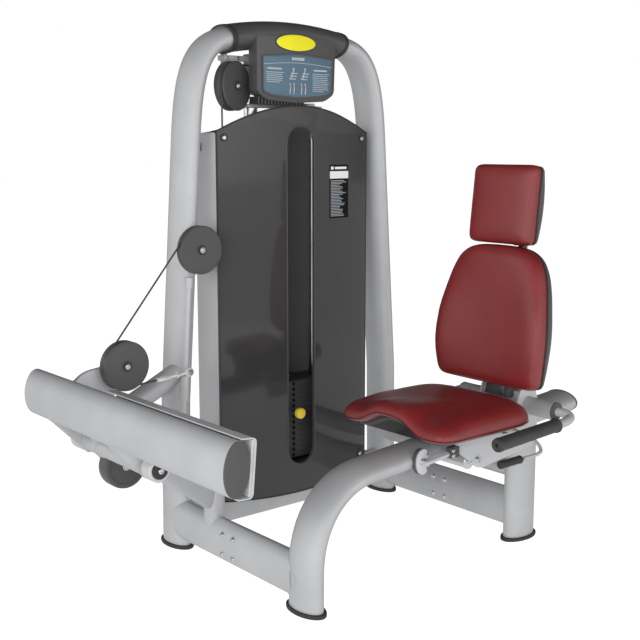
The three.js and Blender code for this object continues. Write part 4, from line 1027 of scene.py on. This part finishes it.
def build_cables():
    along = (ARM_PULLEY - MID_PULLEY).normalized()
    off = Vector((along.z, 0, -along.x)) * CABLE_R
    run_start, run_end = MID_PULLEY + off, ARM_PULLEY + off
    to_eye = EYE - ARM_PULLEY
    lead = math.atan2(to_eye.z, to_eye.x) - math.acos(CABLE_R / to_eye.length)
    back_start = ARM_PULLEY + Vector((math.cos(lead), 0, math.sin(lead))) * CABLE_R
    back = (EYE - back_start).normalized()
    leave = math.degrees(math.atan2(off.z, off.x))

    stack_top = STACK_BASE + 14 * PLATE_PITCH + 28
    riser = [(TOWER_MID, STACK_Y, stack_top + (1316 - stack_top) * i / 24) for i in range(25)]
    cable_piece("stack_cable", riser, "cable_stack_run",
                blend=("lifted_stack", "frame", at(*riser[0]), at(*riser[-1])))
    across = Vector((-TOP_AXIS.y, TOP_AXIS.x, 0))
    diagonal = Vector((-BASE_AXIS.y, BASE_AXIS.x, 0))
    tower = [*arc(CENTRE_PULLEY, -ALONG_X, UP, 50, 180, 95, 14),
             *arc(TOP_PULLEY, across, UP, CABLE_R, 85, 180, 16),
             *arc(BASE_PULLEY, diagonal, UP, 33.4, 0, -180, 22),
             *arc(MID_PULLEY, ALONG_X, UP, CABLE_R, 0, leave, 24)]
    cable_piece("tower_cable", tower, "cable_tower_run", "frame")
    swing = [run_start.lerp(run_end, i / 24) for i in range(25)]
    cable_piece("arm_cable", swing, "arm_cable_upper arm_cable_upper_end",
                blend=("cable_swing", "cable_stretch", at(*swing[1]), at(*swing[-1])))
    wrap_to = math.degrees(lead) - 360 if math.degrees(lead) > leave else math.degrees(lead)
    wrap = arc(ARM_PULLEY, ALONG_X, UP, CABLE_R, leave, wrap_to + 360, 40)
    cable_piece("arm_wheel_cable", wrap, "", "foot_arm")
    ferrule = EYE - back * 104
    tail = [back_start.lerp(ferrule, i / 12) for i in range(13)]
    cable_piece("return_cable", tail, "arm_cable_lower_end",
                blend=("cable_return", "frame", at(*tail[0]), at(*tail[-1])))

    buckle = Shell()
    profile = [(2.6, 0), (5.8, 1), (6.4, 3), (6.4, 12), (7.6, 13), (7.6, 34), (6.6, 36), (6.6, 42),
               (5.2, 43.5)]
    for k in range(13):
        profile += [(5.2, 45 + 3.4 * k), (4.5, 46.4 + 3.4 * k)]
    profile += [(5.2, 91), (TIP, 92)]
    buckle.turned(ferrule - back * 1, back, profile, 28)
    hex_head(buckle, EYE - back * 42, back, 9, 7)
    eye = [(6, -4.5), (11.5, -4.5), (13, -3), (13, 3), (11.5, 4.5), (6, 4.5), (5.2, 3), (5.2, -3), (6, -4.5)]
    buckle.turned(EYE, TO_USER, eye, 36)
    buckle.make("cable_turnbuckle", ZINC, "turnbuckle")


# ---------------------------------------------------------------- seat carriage

def build_carriage():
    side = [(442, 351), (468, 391), (690, 411), (712, 470), (772, 474), (792, 410), (772, 300), (560, 276),
            (538, 280)]
    side = rounded(side, [5, 22, 30, 16, 14, 30, 16, 20, 20], 6)
    plates = Shell()
    for a, b in ((-669, -662), (-532, -525)):
        plates.plate("xz", side, a, b)
    deck = [(x, rail_z(x) + lift) for x, lift in ((470, 33), (690, 33), (690, 38), (470, 38))]
    plates.plate("xz", deck, -663, -531)
    plates.plate("xz", rectangle(716, 764, 424, 462, 6), -663, -531)
    plates.make("carriage_plates", PALE_SILVER, "seat_carriage", "seat", bevel=1.6)
    spine = Shell()
    for foot, head, half_x, half_y in ((Vector((746, SEAT_Y, 440)), Vector((783, SEAT_Y, 800)), 18, 25),
                                       (Vector((781, SEAT_Y, 786)), Vector((801, SEAT_Y, 990)), 12, 10)):
        outline = rectangle(-half_x, half_x, -half_y, half_y, 7, 5)
        middles = [foot.lerp(head, t) for t in (0, 0.33, 0.66, 1)]
        spine.rings([[middle + Vector((a, b, 0)) for a, b in outline] for middle in middles])
    for z0, z1, outer in ((540, 566, 774), (760, 786, 794), (900, 926, 800)):
        x = 633 + math.tan(BACK_TILT) * ((z0 + z1) / 2 - 450) + 64
        spine.plate("xz", rectangle(x, outer, z0, z1, 3), -617, -577)
        spine.plate("xz", rectangle(x - 1, x + 3, z0 - 14, z1 + 14, 2), -637, -557)
    spine.turned((704, -612, 470), TO_USER, [(23, 0), (24.5, 1.5), (24.5, 14), (22, 16), (14, 16.4)], 40)
    spine.plate("xz", [(690, 446), (722, 446), (756, 500), (738, 506), (700, 480)], -640, -554)
    # The spine is silver; it is made in the dark plastic as painted shade, standing for the shade the pads
    # cast on it.
    spine.make("back_spine", DARK_PLASTIC, body="seat", bevel=1.2)
    tubes, caps = Shell(), Shell()
    for a, b in ((-664, -768), (-530, -426)):
        sign = math.copysign(1, b - a)
        tubes.turned((744, a, 421), (0, sign, 0), [(25, 0), (25, 101), (24, 102)], 48)
        caps.turned((744, b - sign * 3, 421), (0, sign, 0), [(25.6, 0), (25.6, 3), (24, 5), (14, 6)], 48)
        bead(tubes, [(744 + c, a + sign * 4, 421 + d) for c, d in ellipse(25.6, 25.6, 32)], 2.2)
    tubes.make("handle_cross_tubes", SILVER, body="seat")
    caps.make("handle_cross_tube_caps", DARK_PLASTIC, body="seat")
    block = Shell().plate("xz", rectangle(414, 448, 331, 361, 6), -686, -669.5)
    block.plate("xz", rectangle(636, 664, 356, 388, 6), -672, -669)
    board = []
    for inset, z in ((44, 396), (41, 398), (40, 405), (42, 410)):
        board.append([(x, SEAT_Y + y, z + 36 * seat_lift(x, y)) for x, y in seat_outline(inset)])
    block.rings(board)
    block.make("seat_dark_parts", DARK_PLASTIC, body="seat", bevel=1.2)
    run = [(330, -676, rail_z(330) - 3), (436, -676, rail_z(436) + 1)]
    link = Shell().sweep(run, ellipse(7.6, 7.6, 6), ends=((1.2, 0.82),))
    heads = Shell()
    for x, z in ((538, 301), (740, 330), (584, 392), (668, 400)):
        washer(heads, (x, -669, z), TO_USER, 11, 1.8)
        bolt(heads, (x, -670.6, z), TO_USER, 8.6, 5)
    for z in (338, 352):
        bolt(heads, (424, -686, z), TO_USER, 6.4, 4.5)
    heads.make("carriage_bolts", CHROME, body="seat")
    link.make("range_link", PALE_SILVER, body="seat")

    z = rail_z(515) - 52
    profile = [(5.2, 0), (17.5, 0), (19.5, 1.5), (20, 8), (18.2, 9), (18.2, 117), (20, 118), (19.5, 124.5),
               (17.5, 126), (5.2, 126), (5.2, 0)]
    roller = Shell().turned((515, -534, z), TO_USER, profile, 48)
    roller.turned((515, -523, z), TO_USER, [(4.2, 0), (5, 1), (5, 147), (4.2, 148)], 24)
    roller.make("roller_and_axle", CHROME, "rail_roller", "rail_roller")


def build_rail_fittings():
    half_disc = ellipse(24, 34, 120, 333, rail_z(333) - 1)
    notched = []
    for x, z in half_disc:
        near = min(math.hypot(x - nx, z - nz) for nx, nz in ((352, 356), (358, 334), (353, 311)))
        pull = 9 * (1 - smoothstep(2, 7.5, near))
        notched.append((x - pull * (x - 333) / 24, z - pull * (z - rail_z(333)) / 34))
    Shell().plate("xz", notched, -667, -662).make("stop_sector", PALE_SILVER, "seat_stop_plate", bevel=0.8)
    back = Shell().plate("xz", [(x - 3, z) for x, z in half_disc], -662.5, -652)
    back.make("stop_sector_backing", DARK_PLASTIC, bevel=1)
    heads = Shell()
    washer(heads, (331, -667, rail_z(331)), TO_USER, 10, 1.6)
    bolt(heads, (331, -668.4, rail_z(331)), TO_USER, 8, 4.6)
    heads.make("stop_sector_bolt", CHROME)


def build_handles():
    for sign, name in ((-1, "near"), (1, "far")):
        def straight(x):
            return Vector((x, SEAT_Y + sign * 216, 389 + 0.0537 * (x - 450)))

        start, lead = (744, SEAT_Y + sign * 168, 421), (756, SEAT_Y + sign * 210, 421)
        bend = cubic(start, lead, straight(772), straight(706), 20)
        tube = Shell().sweep([*bend, straight(600), straight(462)], ellipse(12.5, 12.5, 32))
        tube.make(name + "_handle_tube", SILVER, name + "_handle", "seat")
        along = (straight(450) - straight(690)).normalized()
        profile = [(13, 0), (19.5, 0), (20.5, 1.5), (20.5, 7), (18.6, 9)]
        for k in range(24):
            profile += [(18, 16 + 8.5 * k), (17.6, 18.2 + 8.5 * k), (18, 20.4 + 8.5 * k)]
        profile += [(18, 228), (18.8, 230), (18.8, 236), (17.5, 241), (9, 242), (5, 241.5), (4.6, 234)]
        grip = Shell().turned(straight(688), along, profile, 48)
        grip.make(name + "_grip_sleeve", GRIP_FOAM, name + "_grip", "seat")

    path = [(648, -671, 372), (656, -705, 368), (676, -750, 348), (676, -773, 326), (650, -776, 318),
            (600, -776, 318)]
    lever = Shell().sweep(spline(path), ellipse(5, 5, 24))
    boss = [(10, 0), (11, 1), (11, 15), (9.6, 16.6), (5, 17), (4.6, 14)]
    lever.turned((648, -670, 372), TO_USER, boss, 32)
    lever.make("release_rod", SILVER, "release_lever", "release_lever", slot="bright_steel")
    profile = [(TIP, 0), (6, 0.4), (10, 2.6), (11.4, 7), (10.6, 14), (10.6, 78), (11.4, 82), (10, 85.5),
               (5.2, 86.5)]
    handle = Shell().turned((502, -776, 318), ALONG_X, profile, 40)
    handle.make("release_grip", RUBBER, body="release_lever")


# ---------------------------------------------------------------- cushions

SEAT_FRONT, SEAT_REAR, SEAT_HALF = 268, 635, 201


def seat_outline(inset):
    points = rounded([(SEAT_FRONT + inset, -SEAT_HALF + inset), (SEAT_REAR - inset, -SEAT_HALF + inset),
                      (SEAT_REAR - inset, SEAT_HALF - inset), (SEAT_FRONT + inset, SEAT_HALF - inset)],
                     [max(r - inset, 14) for r in (58, 84, 84, 58)], 8)
    return [tuple(p) for p in even(points, 96)]


def even(points, count):
    """The same closed outline with points at equal spacing."""
    loop = [Vector(p) for p in points] + [Vector(points[0])]
    lengths = [0.0]
    for a, b in zip(loop, loop[1:]):
        lengths.append(lengths[-1] + (b - a).length)
    out, k = [], 0
    for i in range(count):
        want = lengths[-1] * i / count
        while lengths[k + 1] < want:
            k += 1
        out.append(loop[k].lerp(loop[k + 1], (want - lengths[k]) / max(lengths[k + 1] - lengths[k], 1e-6)))
    return out


def seat_lift(x, y):
    """How far the front edge arches up over the rail, from 0 to 1."""
    side = smoothstep(0.12, 0.65, abs(y) / SEAT_HALF)
    return (1 - side) * (1 - smoothstep(0, 0.5, (x - SEAT_FRONT) / (SEAT_REAR - SEAT_FRONT)))


def seat_point(x, y, mix):
    s, t = (x - SEAT_FRONT) / (SEAT_REAR - SEAT_FRONT), abs(y) / SEAT_HALF
    arch = seat_lift(x, y)
    top = 460 + 8 * (1 - t * t) + 16 * arch - 12 * smoothstep(0.12, 0.65, t) * (1 - smoothstep(0, 0.4, s))
    low = 411 + 38 * arch
    return Vector((x, SEAT_Y + y, low + (top - low) * mix))


def wings(a, b, base):
    """How far forward the lower back pad's sides reach, in mm."""
    if base > 600:
        return 0.0
    return 18 * (a / 185) ** 2 * smoothstep(-60, 100, b) * (1 - smoothstep(170, 360, b))


def on_back(a, b, depth, base):
    """A point of a pad's own plane, across, up and towards the user, on the tilted back."""
    depth += wings(a, b, base)
    up = Vector((math.sin(BACK_TILT), 0, math.cos(BACK_TILT)))
    front = Vector((-math.cos(BACK_TILT), 0, math.sin(BACK_TILT)))
    return Vector((695 + math.tan(BACK_TILT) * (base - 450), SEAT_Y + a, base)) + up * b + front * depth


def swell(obj, cap, room):
    """Blows the pad up as its filling would, each point by cap times its room at most, and smooths it."""
    remesh = obj.modifiers.new("even_faces", "REMESH")
    remesh.mode = "VOXEL"
    remesh.voxel_size = 0.005
    remesh.use_smooth_shade = True
    apply_modifiers(obj)
    start = [v.co.copy() for v in obj.data.vertices]
    normals = [v.normal.copy() for v in obj.data.vertices]
    fill = obj.modifiers.new("fill", "CLOTH")
    fill.settings.use_pressure = True
    fill.settings.uniform_pressure_force = 4
    fill.settings.effector_weights.gravity = 0
    fill.point_cache.frame_start, fill.point_cache.frame_end = 1, 20
    for step in range(1, 21):
        bpy.context.scene.frame_set(step)
    apply_modifiers(obj)
    bpy.context.scene.frame_set(1)
    amounts = []
    for v, rest, normal in zip(obj.data.vertices, start, normals):
        most = cap / 1000 * room((rest - ORIGIN) * 1000)
        amounts.append(min(max((v.co - rest).dot(normal), 0), most))
    pairs = [tuple(e.vertices) for e in obj.data.edges]
    for _ in range(30):
        sums, counts = amounts[:], [1] * len(amounts)
        for a, b in pairs:
            sums[a] += amounts[b]
            sums[b] += amounts[a]
            counts[a] += 1
            counts[b] += 1
        amounts = [total / count for total, count in zip(sums, counts)]
    for v, rest, normal, amount in zip(obj.data.vertices, start, normals, amounts):
        v.co = rest + normal * amount
    ease = obj.modifiers.new("ease", "SMOOTH")
    ease.iterations = 12
    finer = obj.modifiers.new("finer", "SUBSURF")
    finer.levels = finer.render_levels = 1
    apply_modifiers(obj)


def snap_to(obj, points, lift):
    """Points moved onto a piece's own surface, before it rides on its body."""
    tree = BVHTree.FromPolygons([v.co for v in obj.data.vertices], [p.vertices for p in obj.data.polygons])
    out = []
    for p in points:
        spot, normal, *_ = tree.find_nearest(at(*p))
        out.append((spot - ORIGIN) * 1000 + normal * lift)
    return out


def cushion(name, rings, cap, room, replaced):
    obj = Shell().rings(rings).make(name, LEATHER, replaced, None, angle=60)
    swell(obj, cap, room)
    obj.data.shade_smooth()
    return obj


def build_seat_pad():
    layers = [(60, 0), (18, 0), (5, 0.02), (0, 0.13), (-1, 0.36), (4, 0.66), (15, 0.88), (33, 0.98), (70, 1),
              (120, 1)]
    rings = [[seat_point(x, y, mix) for x, y in seat_outline(inset)] for inset, mix in layers]

    def room(p):
        return 0.25 + 0.75 * smoothstep(408, 432, p.z - 38 * seat_lift(p.x, p.y - SEAT_Y))

    pad = cushion("seat_cushion", rings, 6, room, "seat_pad")
    seams = Shell()
    bead(seams, snap_to(pad, [seat_point(x, y, 0.16) for x, y in seat_outline(-5)], 0.4), 1.7)
    seams.make("seat_cushion_seams", SEAM_THREAD, body="seat")
    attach(pad, "seat")


def back_outline(inset):
    half = [(36, -10), (84, -9.6), (124, -9), (148, -8.4), (163, -6), (173, 3), (178, 22), (185, 70),
            (187, 120), (183, 172), (175, 219), (164, 267), (151, 308), (133, 340), (106, 361), (72, 371),
            (30, 374)]
    loop = [*half, *[(-a, b) for a, b in reversed(half)]]
    curve = spline([*loop[-2:], *loop, *loop[:3]], 6)[12:-13]
    out = []
    for p in even([(q.x, q.y) for q in curve], 110):
        inward = Vector((0, 190)) - p
        p = p + inward.normalized() * min(inset, inward.length * 0.9)
        out.append((p.x + 4, p.y))
    return out


def head_outline(inset):
    inset = min(inset, 80)
    return even(rectangle(-98 + inset, 117 - inset, inset - 9, 207 - inset, max(17 - inset, 7)), 84)


def build_back_pads():
    for name, outline, base, thick, replaced, cap in (("back_cushion", back_outline, 492, 60, "back_pad", 4),
                                                      ("head_cushion", head_outline, 878, 56, "head_pad", 3)):
        layers = [(50, 16), (14, 16.2), (4, 18), (0, 23), (-1.5, 32), (-1, thick - 12), (3, thick - 2),
                  (11, thick + 3), (24, thick + 5.5), (50, thick + 6), (80, thick + 6.2), (115, thick + 6.3),
                  (150, thick + 6.3)]
        rings = [[on_back(a, b, depth, base) for a, b in outline(inset)] for inset, depth in layers]
        root = on_back(0, 0, 0, base)
        front = on_back(0, 0, 1, base) - root

        def room(p):
            return 0.15 + 0.85 * smoothstep(17, 30, (p - root).dot(front))

        pad = cushion(name, rings, cap, room, replaced)
        seams = Shell()
        bead(seams, snap_to(pad, [on_back(a, b, 21, base) for a, b in outline(-4)], 0.4), 1.6)
        seams.make(name + "_seams", SEAM_THREAD, body="seat")
        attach(pad, "seat")
        shell = [(60, -22), (30, -20), (14, -15), (6, -8), (2, 0), (0.5, 8), (0.5, 14), (4, 16.4), (50, 16.4)]
        middle = 182 if base < 600 else 99
        rings = []
        for inset, depth in shell:
            ring = []
            for a, b in outline(inset):
                bow = 1 - 0.6 * ((b - middle) / (middle + 9)) ** 2
                ring.append(on_back(a, b, 16.4 - (16.4 - depth) * bow, base))
            rings.append(ring)
        Shell().rings(rings).make(name + "_shell", DARK_PLASTIC, body="seat", angle=50)
    link = Shell().plate("xz", rectangle(770, 794, 862, 884, 4), -617, -577)
    link.make("pad_link", DARK_PLASTIC, body="seat", bevel=1.5)


# ---------------------------------------------------------------- stage and camera

def add_camera():
    data = bpy.data.cameras.new("camera")
    data.lens, data.sensor_width = 60, 36
    data.clip_start, data.clip_end = 0.05, 100
    camera = add_object("camera", data)
    camera.location = at(-1570.2, -2539.0, 1136)
    camera.rotation_mode = "QUATERNION"
    camera.rotation_quaternion = Vector((0.63105, 0.75899, -0.16009)).to_track_quat("-Z", "Y")
    bpy.context.scene.camera = camera


def add_world():
    """Light from in front and the left, dark overhead, and plain white where the camera sees it."""
    scene = bpy.context.scene
    scene.view_settings.view_transform = "Standard"
    scene.world = bpy.data.worlds.new("studio")
    scene.world.use_nodes = True
    tree = scene.world.node_tree
    join = tree.links.new
    lighting = tree.nodes["Background"]
    place = node(tree, "TexCoord").outputs["Generated"]
    split = node(tree, "SeparateXYZ")
    join(place, split.inputs[0])
    height = node(tree, "MapRange", From_Min=-1)
    join(split.outputs["Z"], height.inputs["Value"])
    ramp = node(tree, "ValToRGB")
    stops = ((0.0, 0.6), (0.44, 0.85), (0.57, 1.0), (0.70, 0.22), (1.0, 0.06))
    while len(ramp.color_ramp.elements) < len(stops):
        ramp.color_ramp.elements.new(0.5)
    for element, (position, value) in zip(ramp.color_ramp.elements, stops):
        element.position = position
        element.color = (value, value, value * 1.01, 1)
    join(height.outputs["Result"], ramp.inputs["Fac"])
    join(ramp.outputs["Color"], lighting.inputs["Color"])
    facing = node(tree, "VectorMath")
    facing.operation = "DOT_PRODUCT"
    facing.inputs[1].default_value = (-0.86, -0.50, 0)
    join(place, facing.inputs[0])
    side = node(tree, "MapRange", From_Min=-0.6, From_Max=0.5, To_Min=0.25, To_Max=1.5)
    join(facing.outputs["Value"], side.inputs["Value"])
    join(side.outputs["Result"], lighting.inputs["Strength"])
    mix = node(tree, "MixShader")
    join(node(tree, "LightPath").outputs["Is Camera Ray"], mix.inputs["Fac"])
    join(lighting.outputs["Background"], mix.inputs[1])
    join(node(tree, "Background", Color=(1, 1, 1, 1)).outputs["Background"], mix.inputs[2])
    join(mix.outputs["Shader"], tree.nodes["World Output"].inputs["Surface"])


def add_lights():
    for name, place, aim, size, power in (("key", (-3000, -2400, 1300), (200, -300, 600), 2.4, 90),
                                          ("fill", (1500, -3300, 1200), (400, -300, 600), 2.6, 30)):
        data = bpy.data.lights.new(name, "AREA")
        data.size, data.energy = size, power
        light = add_object(name, data)
        light.visible_glossy = False
        light.location = at(*place)
        light.rotation_euler = (Vector(aim) - Vector(place)).to_track_quat("-Z", "Y").to_euler()


def add_floor():
    data = bpy.data.meshes.new("floor")
    centre = at(200, -300, 0)
    corners = [(-30, -30), (30, -30), (30, 30), (-30, 30)]
    data.from_pydata([centre + Vector((a, b, -0.0005)) for a, b in corners], [], [(0, 1, 2, 3)])
    made = bpy.data.materials.new("studio_floor")
    made.use_nodes = True
    tree = made.node_tree
    shader = tree.nodes["Principled BSDF"]
    values = {"Base Color": (0.35, 0.35, 0.35, 1), "Roughness": 0.9, "Specular IOR Level": 0.0,
              "Emission Color": (1, 1, 1, 1)}
    for socket, value in values.items():
        shader.inputs[socket].default_value = value
    glow = node(tree, "MapRange", To_Min=0.5, To_Max=1.0)
    tree.links.new(node(tree, "LightPath").outputs["Is Camera Ray"], glow.inputs["Value"])
    tree.links.new(glow.outputs["Result"], shader.inputs["Emission Strength"])
    data.materials.append(made)
    add_object("floor", data)


build_frame()
build_feet()
build_rail_end()
build_casing()
build_label()
build_head()
build_guides()
build_stack()
build_pulleys()
build_pulley_frame()
build_arm()
build_supports()
build_cables()
build_carriage()
build_rail_fittings()
build_handles()
build_seat_pad()
build_back_pads()
add_camera()
add_world()
add_lights()
add_floor()
